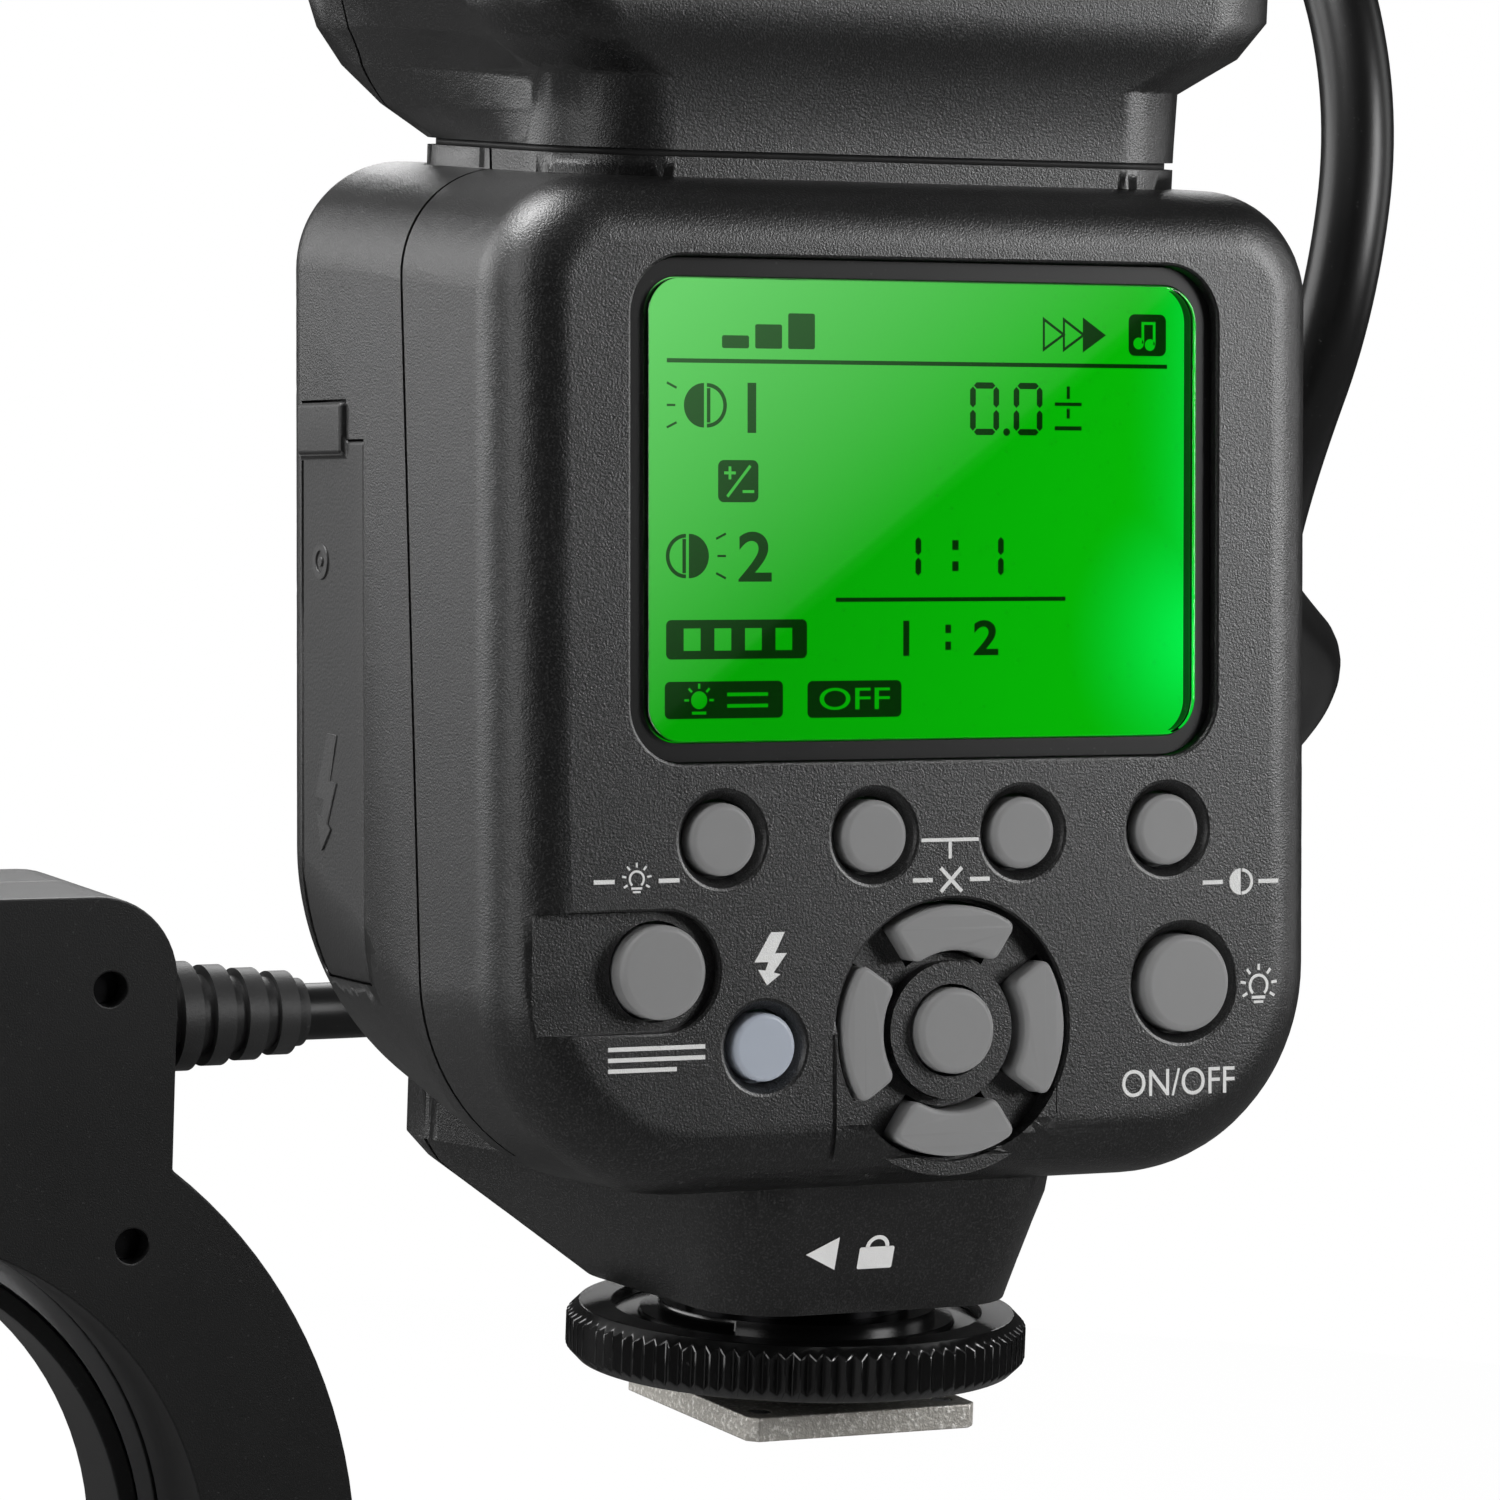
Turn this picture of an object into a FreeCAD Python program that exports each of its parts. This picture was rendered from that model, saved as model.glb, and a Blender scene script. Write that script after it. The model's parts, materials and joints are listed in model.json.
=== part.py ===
import FreeCAD, Part
import Sketcher
import math
import os
import re

# Macro flash: a control unit that stands on an accessory shoe, a free cord, and a ring head that clips
# round the front of a lens. Millimetres. +Z is up, +Y points forward along the lens, +X is to the right
# when the unit is seen from behind, where its display is. The origin is the centre of the underside of
# the shoe foot.

doc = FreeCAD.newDocument("macro_flash")
sheet = doc.addObject("Spreadsheet::Sheet", "dims")
Vector = FreeCAD.Vector

# Driving dimensions. Heights of the unit are measured from the top of the foot plate, in the unit's own
# leaning frame; heights of the foot and of the ring head are measured from there too, upright.
DIMENSIONS = [
    # Unit housing
    ("unit_lean", 4.4),
    ("unit_half", 33.0),
    ("unit_back", 20.8),
    ("unit_front", 18.6),
    ("unit_bottom", 16.0),
    ("unit_top", 86.9),
    ("top_corner", 8.0),
    ("bottom_corner", 15.0),
    ("front_corner", 23.0),
    ("front_rise", 2.2),
    ("corner_start", 5.0),
    ("back_edge", 5.0),
    ("front_edge", 4.0),
    ("wall", 2.0),
    ("split_depth", 7.3),
    ("split_tilt", 3.55),
    # Neck and head
    ("collar_half", 25.8),
    ("collar_back", 9.5),
    ("collar_front", 21.3),
    ("collar_rise", 1.4),
    ("neck_gap", 0.5),
    ("flare_height", 10.4),
    ("head_half", 31.9),
    ("head_back", 11.8),
    ("head_front", 30.4),
    ("head_height", 26.0),
    ("head_corner", 8.0),
    ("head_edge", 3.5),
    ("head_split", 17.8),
    ("hub_radius", 12.0),
    # Display
    ("window_wide", 44.0),
    ("window_tall", 32.2),
    ("window_height", 64.0),
    ("window_corner", 2.6),
    ("bezel_rim", 1.5),
    ("bezel_sink", 0.9),
    ("window_thick", 1.2),
    ("glass_thick", 1.6),
    ("guide_thick", 2.4),
    # Buttons and keys
    ("key_travel", 0.7),
    ("key_gap", 0.25),
    ("key_proud", 0.3),
    ("flange_rim", 0.9),
    ("flange_thick", 0.8),
    ("small_radius", 2.55),
    ("small_pitch", 11.95),
    ("small_middle", 1.5),
    ("small_height", 41.1),
    ("dish_rim", 0.6),
    ("mode_radius", 3.3),
    ("mode_side", 21.3),
    ("mode_height", 32.0),
    ("power_radius", 3.5),
    ("power_side", 20.8),
    ("power_height", 30.0),
    ("test_radius", 2.4),
    ("test_side", 13.1),
    ("test_height", 26.5),
    ("pad_middle", 1.85),
    ("pad_height", 27.2),
    ("pad_radius", 9.35),
    ("pad_sink", 1.4),
    ("plate_left", 9.4),
    ("plate_right", 8.3),
    ("plate_rise", 0.2),
    ("recess_radius", 4.2),
    ("recess_sink", 0.8),
    ("arc_outer", 8.9),
    ("arc_inner", 5.7),
    ("arc_spread", 68.0),
    ("hub_ring_outer", 4.9),
    ("centre_radius", 3.05),
    ("board_thick", 1.2),
    ("dome_radius", 1.6),
    # Batteries and what else the unit holds
    ("cell_radius", 6.95),
    ("cell_length", 50.4),
    ("cell_pitch", 14.0),
    ("cell_floor", 27.2),
    ("cell_depth", 8.4),
    ("cell_left", 23.6),
    ("contact_thick", 0.5),
    ("contact_reach", 3.1),
    ("cage_wall", 0.9),
    ("door_height", 53.0),
    ("door_floor", 30.5),
    ("door_reach", 14.2),
    ("door_back", 1.2),
    ("door_thick", 1.8),
    ("door_gap", 0.3),
    ("door_slide", 4.0),
    ("pin_radius", 0.75),
    ("capacitor_radius", 9.0),
    ("capacitor_length", 44.0),
    # Port cover and sockets
    ("cover_floor", 30.0),
    ("cover_height", 39.0),
    ("cover_back", 3.4),
    ("cover_reach", 11.0),
    ("cover_thick", 1.5),
    ("socket_radius", 3.9),
    # Foot and lock
    ("foot_wide", 18.6),
    ("foot_long", 20.6),
    ("foot_back", 11.3),
    ("foot_thick", 1.8),
    ("foot_chamfer", 1.4),
    ("post_radius", 8.2),
    ("block_floor", 7.6),
    ("block_rear_half", 12.5),
    ("block_front_half", 14.0),
    ("block_back", 13.0),
    ("block_front", 11.5),
    ("block_top_rear_half", 14.3),
    ("block_top_front_half", 24.5),
    ("block_top_back", 15.2),
    ("block_top_front", 20.0),
    ("block_knee", 16.4),
    ("block_split", 12.0),
    ("wheel_radius", 16.9),
    ("wheel_floor", 1.6),
    ("wheel_thick", 4.1),
    ("wheel_bore", 11.6),
    ("wheel_well", 13.6),
    ("knurl_depth", 0.45),
    ("knurl_count", 96),
    ("thread_gap", 0.08),
    ("lock_pin_radius", 1.0),
    ("lock_pin_reach", 1.3),
    ("contact_radius", 0.8),
    # Ring head
    ("ring_far", 202.5),
    ("ring_drop", 63.5),
    ("ring_radius", 56.0),
    ("ring_bore", 39.2),
    ("ring_view", 35.0),
    ("ring_shell", 13.0),
    ("ring_front_deep", 10.5),
    ("ring_wall", 2.0),
    ("box_half", 34.0),
    ("box_top", 9.6),
    ("box_corner", 9.0),
    ("tube_thick", 1.9),
    ("diffuser_spread", 150.0),
    # Cord
    ("cord_radius", 3.0),
    ("relief_length", 19.0),
    ("relief_radius", 6.2),
    ("relief_tip", 4.0),
]
for row, (word, amount) in enumerate(DIMENSIONS, start=1):
    sheet.set("A%d" % row, word)
    sheet.set("B%d" % row, str(amount))
    sheet.setAlias("B%d" % row, word)
doc.recompute()
WORDS = {word for word, amount in DIMENSIONS}

# Where the strain reliefs sit: in from the head's side, below the top of the foot, and off each housing
RELIEF_INSET = 11
RELIEF_RISE = 8
RELIEF_DROP = 5
RELIEF_GAP = 0.05
# How far the cord runs straight on from each relief
UNIT_RUN = 15
RING_RUN = 18
# How the head widens above its neck: share of the flare's height, share of the growth at the front, and at
# the back
FLARE = ((0, 0, 0), (0.22, 0.37, 0), (0.48, 0.68, 0), (0.74, 0.9, 0.68), (1, 1, 1))
# The glass tubes stop short of their windows by this angle
TUBE_SHORT = 14


def size(word):
    """The value of one driving dimension."""
    return float(getattr(sheet, word))


def with_sheet(match):
    """A sheet word as an expression names it."""
    word = match.group(0)
    return "dims." + word if word in WORDS else word


def bind(item, field, text):
    """Tie one property of an object to the sheet."""
    item.setExpression(field, re.sub(r"\b[a-z][a-z_]*\b", with_sheet, str(text)))


def place(item, x, y, z):
    """Tie an object's place to the sheet."""
    for axis, text in zip("xyz", (x, y, z)):
        bind(item, "Placement.Base." + axis, text)


LEAN = FreeCAD.Rotation(Vector(1, 0, 0), -size("unit_lean"))
UPRIGHT = FreeCAD.Rotation()
AXIS_TURN = {
    "X": FreeCAD.Rotation(Vector(0, 1, 0), 90),
    "Y": FreeCAD.Rotation(Vector(1, 0, 0), -90),
    "Z": FreeCAD.Rotation(),
}
finished = {}


def keep(item, label, turn=LEAN):
    """Name a finished sub-part and set it in the frame of the unit, or upright on the foot."""
    if item.TypeId in ("Part::Box", "Part::Cylinder"):
        item = group(label, [item])
    item.Label = label
    item.Placement = FreeCAD.Placement(Vector(0, 0, size("foot_thick")), turn)
    finished[label] = item
    return item


def box(name, x, y, z, wide, deep, tall):
    """A block from its lowest corner and its three lengths."""
    item = doc.addObject("Part::Box", name)
    bind(item, "Length", wide)
    bind(item, "Width", deep)
    bind(item, "Height", tall)
    place(item, x, y, z)
    return item


def rod(name, x, y, z, radius, length, axis):
    """A round bar that starts at a point and runs along an axis."""
    item = doc.addObject("Part::Cylinder", name)
    bind(item, "Radius", radius)
    bind(item, "Height", length)
    item.Placement.Rotation = AXIS_TURN[axis]
    place(item, x, y, z)
    return item


def taper(name, x, y, z, radius, tip, length, axis):
    """A round bar that changes radius along its axis."""
    item = doc.addObject("Part::Cone", name)
    bind(item, "Radius1", radius)
    bind(item, "Radius2", tip)
    bind(item, "Height", length)
    item.Placement.Rotation = AXIS_TURN[axis]
    place(item, x, y, z)
    return item


def fuse(name, shapes):
    item = doc.addObject("Part::MultiFuse", name)
    item.Shapes = shapes
    return item


def common(name, shapes):
    item = doc.addObject("Part::MultiCommon", name)
    item.Shapes = shapes
    return item


def cut(name, base, tools):
    """The base less one tool or several."""
    item = doc.addObject("Part::Cut", name)
    item.Base = base
    item.Tool = tools[0] if len(tools) == 1 else fuse(name + "_tools", tools)
    return item


def group(name, shapes):
    """Separate solids that share one node."""
    item = doc.addObject("Part::Compound", name)
    item.Links = shapes
    return item


def round_edges(name, base, radius, chosen):
    """Fillet the edges that a test chooses."""
    doc.recompute()
    item = doc.addObject("Part::Fillet", name)
    item.Base = base
    item.Edges = [
        (index, radius, radius)
        for index, edge in enumerate(base.Shape.Edges, start=1)
        if chosen(edge)
    ]
    return item


def runs_along(edge, axis):
    """True for a straight edge parallel to X, Y or Z."""
    if edge.Curve.TypeId != "Part::GeomLine":
        return False
    direction = edge.Curve.Direction
    return abs(abs(direction.dot(axis)) - 1.0) < 1e-6


def lies_at(edge, axis, place_on_axis):
    """True for an edge whose points all lie at one place on an axis."""
    low = edge.BoundBox
    span = {"x": (low.XMin, low.XMax), "y": (low.YMin, low.YMax), "z": (low.ZMin, low.ZMax)}[axis]
    return abs(span[0] - place_on_axis) < 1e-4 and abs(span[1] - place_on_axis) < 1e-4


def body_sketch(body, role, name, offset):
    """A sketch on one of the body's own origin planes, moved along that plane's normal."""
    sketch = body.newObject("Sketcher::SketchObject", name)
    plane = [item for item in body.Origin.OriginFeatures if item.Role == role][0]
    sketch.AttachmentSupport = [(plane, "")]
    sketch.MapMode = "FlatFace"
    bind(sketch, "AttachmentOffset.Base.z", offset)
    return sketch


def outline(sketch, low_x, high_x, low_y, high_y, low_corner, high_corner, narrow=None):
    """A closed outline with rounded lower and upper corners, driven by the sheet.

    Where narrow is given, it is the half width at the lower end, and the sides slant.
    """
    left, right, low, high = -20.0, 20.0, -15.0, 15.0
    r = 3.0
    turn = math.pi / 2
    centres = [(right - r, high - r), (left + r, high - r), (left + r, low + r), (right - r, low + r)]
    arcs = []
    for index, (x, y) in enumerate(centres):
        circle = Part.Circle(Vector(x, y, 0), Vector(0, 0, 1), r)
        arcs.append(sketch.addGeometry(Part.ArcOfCircle(circle, index * turn, (index + 1) * turn)))
    lines = []
    for index in range(4):
        start = sketch.getPoint(arcs[index], 2)
        end = sketch.getPoint(arcs[(index + 1) % 4], 1)
        lines.append(sketch.addGeometry(Part.LineSegment(start, end)))
    for index in range(4):
        sketch.addConstraint(Sketcher.Constraint("Tangent", arcs[index], 2, lines[index], 1))
        sketch.addConstraint(Sketcher.Constraint("Tangent", lines[index], 2, arcs[(index + 1) % 4], 1))
    sketch.addConstraint(Sketcher.Constraint("Horizontal", lines[0]))
    sketch.addConstraint(Sketcher.Constraint("Horizontal", lines[2]))
    if narrow is None:
        sketch.addConstraint(Sketcher.Constraint("Vertical", lines[1]))
        sketch.addConstraint(Sketcher.Constraint("Vertical", lines[3]))
    driven = [
        (Sketcher.Constraint("Radius", arcs[0], r), high_corner),
        (Sketcher.Constraint("Radius", arcs[1], r), high_corner),
        (Sketcher.Constraint("Radius", arcs[2], r), low_corner),
        (Sketcher.Constraint("Radius", arcs[3], r), low_corner),
        (Sketcher.Constraint("DistanceX", -1, 1, lines[3], 2, right), high_x),
        (Sketcher.Constraint("DistanceX", -1, 1, lines[1], 1, left), low_x),
        (Sketcher.Constraint("DistanceY", -1, 1, lines[0], 1, high), high_y),
        (Sketcher.Constraint("DistanceY", -1, 1, lines[2], 1, low), low_y),
    ]
    if narrow is not None:
        driven.append((Sketcher.Constraint("DistanceX", -1, 1, lines[3], 1, right), narrow))
        driven.append((Sketcher.Constraint("DistanceX", -1, 1, lines[1], 2, left), "-(%s)" % narrow))
    for constraint, text in driven:
        number = sketch.addConstraint(constraint)
        bind(sketch, "Constraints[%d]" % number, text)


def slab(name, sides, heights, start, deep, corners, back_edge="0", front_edge="0"):
    """A block with a rounded outline seen from behind, from its front face at start towards the back."""
    body = doc.addObject("PartDesign::Body", name)
    sketch = body_sketch(body, "XZ_Plane", name + "_outline", "-(%s)" % start)
    outline(sketch, sides[0], sides[1], heights[0], heights[1], corners[0], corners[1])
    pad = body.newObject("PartDesign::Pad", name + "_pad")
    pad.Profile = sketch
    bind(pad, "Length", deep)
    doc.recompute()
    return ease_ends(body, pad, name, back_edge, front_edge)


def ease_ends(body, last, name, back_edge, front_edge):
    """Round the edges round a body's back face and front face."""
    box_now = last.Shape.BoundBox
    for word, radius, at in (("back", back_edge, box_now.YMin), ("front", front_edge, box_now.YMax)):
        if radius == "0":
            continue
        names = [
            "Edge%d" % index
            for index, edge in enumerate(last.Shape.Edges, start=1)
            if lies_at(edge, "y", at)
        ]
        fillet = body.newObject("PartDesign::Fillet", name + "_" + word + "_edge")
        fillet.Base = (last, names)
        bind(fillet, "Radius", radius)
        body.Tip = fillet
        doc.recompute()
        last = fillet
    return body


def loft_through(body, sketches):
    """Join a body's sketches in turn with straight lofts."""
    doc.recompute()
    for index in range(len(sketches) - 1):
        loft = body.newObject("PartDesign::AdditiveLoft", "%s_loft%d" % (body.Name, index))
        loft.Profile = sketches[index]
        loft.Sections = [sketches[index + 1]]
        loft.Ruled = True
        body.Tip = loft
        doc.recompute()
    return loft


def stacked(name, levels):
    """A body lofted upwards through outlines.

    Each level is (height, half width at the back, half width at the front, back, front, corner).
    """
    body = doc.addObject("PartDesign::Body", name)
    sketches = []
    for index, (height, rear_half, front_half, back, front, corner) in enumerate(levels):
        sketch = body_sketch(body, "XY_Plane", "%s_level%d" % (name, index), height)
        narrow = None if rear_half == front_half else rear_half
        outline(sketch, "-(%s)" % front_half, front_half, "-(%s)" % back, front, corner, corner, narrow)
        sketches.append(sketch)
    loft_through(body, sketches)
    return body


def housing_block(name, shrink, back_edge="0", front_edge="0"):
    """The housing's block: its top is level in the world, and its lower corners widen towards the front."""
    body = doc.addObject("PartDesign::Body", name)
    stations = [
        ("-unit_back + %s" % shrink, "bottom_corner", "0"),
        ("-corner_start", "bottom_corner", "0"),
        ("unit_front - %s" % shrink, "front_corner", "front_rise"),
    ]
    sketches = []
    for index, (at, corner, rise) in enumerate(stations):
        sketch = body_sketch(body, "XZ_Plane", "%s_station%d" % (name, index), "-(%s)" % at)
        outline(sketch, "-unit_half + %s" % shrink, "unit_half - %s" % shrink,
                "unit_bottom + %s + %s" % (rise, shrink),
                "unit_top + (%s + unit_back) * tan(unit_lean * 1 deg) - %s" % (at, shrink),
                "%s - %s" % (corner, shrink), "top_corner - %s" % shrink)
        sketches.append(sketch)
    return ease_ends(body, loft_through(body, sketches), name, back_edge, front_edge)


def sector(name, x, y, z, outer, inner, length, middle, spread, trim=0):
    """Part of a ring that runs back from y, its middle at an angle from +X towards +Z."""
    discs = []
    start = middle - (size(spread) - trim) / 2
    turn = FreeCAD.Rotation(Vector(0, 1, 0), -start)
    for word, radius in (("outer", outer), ("inner", inner)):
        disc = doc.addObject("Part::Cylinder", name + "_" + word)
        bind(disc, "Radius", radius)
        bind(disc, "Height", length)
        place(disc, x, y, z)
        discs.append(disc)
    bind(discs[0], "Angle", "%s - %s" % (spread, trim))
    upright = FreeCAD.Rotation(Vector(1, 0, 0), 90)
    discs[0].Placement.Rotation = turn.multiply(upright)
    discs[1].Placement.Rotation = upright
    return cut(name, discs[0], [discs[1]])


# Unit housing: one hollow block with its collar and foot block, split into two shells

unit_block = housing_block("unit_block", "0", "back_edge", "front_edge")
unit_hollow = housing_block("unit_hollow", "wall")
level_top = "unit_top * cos(unit_lean * 1 deg) + unit_back * sin(unit_lean * 1 deg)"
hub_middle = "(collar_front - collar_back) / 2"
collar = stacked("collar", [
    ("%s - wall" % level_top, "collar_half", "collar_half", "collar_back", "collar_front", "head_corner"),
    ("%s + collar_rise" % level_top, "collar_half", "collar_half", "collar_back", "collar_front", "head_corner"),
])
block_top = ("block_top_rear_half", "block_top_front_half", "block_top_back", "block_top_front", "6.5")
foot_block = stacked("foot_block", [
    ("block_floor", "block_rear_half", "block_front_half", "block_back", "block_front", "6"),
    ("block_knee - 0.8", "block_top_rear_half - 0.2", "block_top_front_half - 1.2", "block_top_back - 0.1",
     "block_top_front - 1.1", "6.4"),
    ("block_knee + 0.8",) + block_top,
    ("block_knee + 8",) + block_top,
])
post_hole = group("post_hole", [rod("post_hole_bar", "0", "0", "block_floor - 1", "post_radius - 1.5", "4", "Z")])
hub_hole = group("hub_hole", [rod("hub_hole_bar", "0", hub_middle, "%s - wall - 1" % level_top,
                                  "hub_radius + 0.1", "8", "Z")])
collar_notch = group("collar_notch", [box("collar_notch_bar", "-collar_half - 1", "5.1", level_top, "2", "0.9",
                                          "collar_rise + 1")])
for item in (collar, foot_block, post_hole, hub_hole, collar_notch):
    item.Placement.Rotation = LEAN.inverted()
block_skirt = cut("block_skirt", foot_block, [unit_block, post_hole])
housing = cut("housing", fuse("housing_walls", [unit_block, collar]), [unit_hollow, hub_hole, collar_notch])


def split_half(name, forward):
    """The space in front of the leaning parting plane, or behind it."""
    reach = 60
    half = doc.addObject("Part::Box", name)
    half.Length = 2 * reach
    half.Width = reach
    half.Height = 2 * reach
    half.Placement.Rotation = FreeCAD.Rotation(Vector(1, 0, 0), -size("split_tilt"))
    back = 0 if forward else reach
    drop = 40
    place(half, -reach,
          "-split_depth - %d * sin(split_tilt * 1 deg) - %d * cos(split_tilt * 1 deg)" % (drop, back),
          "unit_bottom - %d * cos(split_tilt * 1 deg) + %d * sin(split_tilt * 1 deg)" % (drop, back))
    return half


def block_half(name, forward):
    """The space in front of the upright parting plane of the foot block, or behind it."""
    reach = 60
    back = 0 if forward else reach
    half = group(name, [box(name + "_space", -reach, "block_split - %d" % back, "0", 2 * reach, reach, reach)])
    half.Placement.Rotation = LEAN.inverted()
    return half


def shell_blank(name, forward):
    """The housing's walls on one side of its parting plane, with the foot block's walls on its own side."""
    walls = common(name + "_walls", [housing, split_half(name + "_side", forward)])
    skirt = common(name + "_skirt", [block_skirt, block_half(name + "_block_side", forward)])
    return fuse(name, [walls, skirt])


# Rear shell: the display opening, the button holes and the sunken key pad

window_half = "window_wide / 2 + bezel_rim"
window_low = "window_height - window_tall / 2 - bezel_rim"
window_high = "window_height + window_tall / 2 + bezel_rim"
rear_blank = shell_blank("rear_blank", False)
window_hole = slab("window_hole", ("-(%s)" % window_half, window_half), (window_low, window_high),
                   "-(unit_back - wall - 1)", "wall + 2", ("window_corner + bezel_rim",) * 2)
small_places = ["small_middle + %s * small_pitch" % step for step in (-1.5, -0.5, 0.5, 1.5)]
round_keys = [
    ("mode_button", "-mode_side", "mode_height", "mode_radius"),
    ("power_button", "power_side", "power_height", "power_radius"),
]
round_keys += [
    ("small_button_%d" % number, middle, "small_height", "small_radius")
    for number, middle in enumerate(small_places, start=1)
]
panel_tools = [window_hole]
for label, x, z, radius in round_keys + [("test_button", "-test_side", "test_height", "test_radius")]:
    hole = rod(label + "_hole", x, "-unit_back - 1", z, "%s + key_gap" % radius, "wall + 2", "Y")
    panel_tools.append(hole)
    if label != "mode_button":
        panel_tools.append(taper(label + "_dish", x, "-unit_back - 0.01", z,
                                 "%s + key_gap + dish_rim" % radius, "%s + key_gap" % radius, "1.0", "Y"))
mode_recess = rod("mode_recess", "-mode_side + 0.4", "-unit_back - 2", "mode_height", "recess_radius",
                  "recess_sink + 2", "Y")
mode_channel = box("mode_channel", "-unit_half - 2", "-unit_back - 2", "mode_height - recess_radius",
                   "unit_half + 2.4 - mode_side", "recess_sink + 2", "2 * recess_radius")
panel_tools += [mode_recess, mode_channel]
pad_plate = common("pad_plate", [
    housing_block("plate_skin", "-plate_rise", "back_edge", "front_edge"),
    box("plate_space", "pad_middle - plate_left", "-unit_back - 1", "unit_bottom - 1", "plate_left + plate_right",
        "1.5", "pad_height - unit_bottom + 1"),
])
pad_boss = rod("pad_boss", "pad_middle", "-unit_back + 0.5", "pad_height", "pad_radius + 1",
               "pad_sink + 1.0", "Y")
panel_tools.append(rod("pad_well", "pad_middle", "-unit_back - 1", "pad_height", "pad_radius",
                       "pad_sink + 1", "Y"))
ARROWS = (("key_right", 0), ("key_up", 90), ("key_left", 180), ("key_down", 270))
for label, angle in ARROWS:
    panel_tools.append(sector(label + "_hole", "pad_middle", "0", "pad_height", "arc_outer + key_gap",
                              "arc_inner - key_gap", "unit_back", angle, "arc_spread"))
hub_ring = rod("hub_ring", "pad_middle", "-unit_back + 0.2", "pad_height", "hub_ring_outer",
               "pad_sink + 0.3", "Y")
centre_hole = rod("centre_hole", "pad_middle", "-unit_back - 1", "pad_height", "centre_radius + key_gap",
                  "wall + 4", "Y")
rear_cut = cut("rear_cut", fuse("rear_walls", [rear_blank, pad_boss, pad_plate]), panel_tools)
keep(cut("rear_shell", fuse("rear_with_ring", [rear_cut, hub_ring]), [centre_hole]), "rear_shell")


# Keys: caps with a flange behind the panel, so that each stays in its hole

def round_key(label, x, z, radius, proud, edge):
    """A round key from its face to the back of its flange."""
    stem = rod(label + "_stem", x, "-unit_back - (%s)" % proud, z, radius, "wall + 0.3 + (%s)" % proud, "Y")
    flange = rod(label + "_flange", x, "-unit_back + wall + 0.15", z, "%s + flange_rim" % radius,
                 "flange_thick", "Y")
    joined = fuse(label + "_blank", [stem, flange])
    doc.recompute()
    face_at = joined.Shape.BoundBox.YMin
    key = round_edges(label, joined, edge, lambda item: lies_at(item, "y", face_at))
    return keep(key, label)


for label, x, z, radius in round_keys:
    proud = "key_proud" if label.startswith("small") else "key_proud + 0.5"
    round_key(label, x, z, radius, proud, 0.5)
round_key("test_button", "-test_side", "test_height", "test_radius", "0.1", 0.4)

key_back = "-unit_back + pad_sink + 1.75"
for label, angle in ARROWS:
    face = sector(label + "_face", "pad_middle", "%s" % key_back, "pad_height", "arc_outer", "arc_inner",
                  "pad_sink + 1.75 + key_proud + 0.2", angle, "arc_spread", 6)
    foot = sector(label + "_foot", "pad_middle", "%s + flange_thick" % key_back, "pad_height",
                  "arc_outer + 0.1", "arc_inner - 0.4", "flange_thick", angle, "arc_spread")
    keep(fuse(label, [face, foot]), label)
centre_stem = rod("centre_stem", "pad_middle", "-unit_back - key_proud - 0.5", "pad_height", "centre_radius",
                  "pad_sink + 1.75 + key_proud + 0.5", "Y")
centre_flange = rod("centre_flange", "pad_middle", key_back, "pad_height", "centre_radius + flange_rim",
                    "flange_thick", "Y")
centre_blank = fuse("centre_blank", [centre_stem, centre_flange])
doc.recompute()
centre_face = centre_blank.Shape.BoundBox.YMin
keep(round_edges("key_centre", centre_blank, 0.5, lambda item: lies_at(item, "y", centre_face)), "key_centre")


# Display: a sunken bezel, a clear window, the glass and the light guide behind it

def window_slab(name, grow, front_at, thick, corner):
    """A piece of the display stack, from its front face towards the back of the unit."""
    half = "window_wide / 2 + (%s)" % grow
    low = "window_height - window_tall / 2 - (%s)" % grow
    high = "window_height + window_tall / 2 + (%s)" % grow
    return slab(name, ("-(%s)" % half, half), (low, high), front_at, thick, (corner, corner))


bezel_front = "-unit_back + bezel_sink + 1.9"
bezel_blank = window_slab("bezel_blank", "bezel_rim - 0.05", bezel_front, "1.9", "window_corner + bezel_rim")
bezel_hole = window_slab("bezel_hole", "0.08", bezel_front + " + 1", "4", "window_corner")
keep(cut("display_bezel", bezel_blank, [bezel_hole]), "display_bezel")
window_back = "-unit_back + 0.35 + window_thick"
keep(window_slab("display_window", "0", window_back, "window_thick", "window_corner"), "display_window")
glass_front = "-unit_back + bezel_sink + 1.95 + glass_thick"
keep(window_slab("display_glass", "1", glass_front, "glass_thick", "1.5"), "display_glass")
keep(window_slab("light_guide", "1", glass_front + " + 0.05 + guide_thick", "guide_thick", "1.5"), "light_guide")

# Key board: one board with a dome under each key

board_face = "-unit_back + pad_sink + 1.75 + flange_thick + key_travel + 0.55"
board_plate = slab("board_plate", ("-unit_half + wall + 0.3", "unit_half - wall - 0.3"),
                   ("unit_bottom + wall + 0.3", "small_height + 4"), board_face + " + board_thick",
                   "board_thick", ("bottom_corner - wall - 0.3", "1"))
dome_places = [(x, z) for label, x, z, radius in round_keys]
dome_places += [("-test_side", "test_height"), ("pad_middle", "pad_height")]
arc_middle = "(arc_outer + arc_inner) / 2"
for label, angle in ARROWS:
    dome_places.append(("pad_middle + %d * %s" % (round(math.cos(math.radians(angle))), arc_middle),
                        "pad_height + %d * %s" % (round(math.sin(math.radians(angle))), arc_middle)))
domes = []
shallow_face = "-unit_back + wall + 0.15 + flange_thick + key_travel + 0.05"
for number, (x, z) in enumerate(dome_places):
    deep = number >= len(round_keys) + 1
    start = board_face + " - 0.5" if deep else shallow_face
    length = "1" if deep else "(%s) - (%s) + 0.5" % (board_face, shallow_face)
    domes.append(taper("dome_%d" % number, x, start, z, "dome_radius - 0.6", "dome_radius", length, "Y"))
keep(fuse("key_board", [board_plate] + domes), "key_board")

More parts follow.
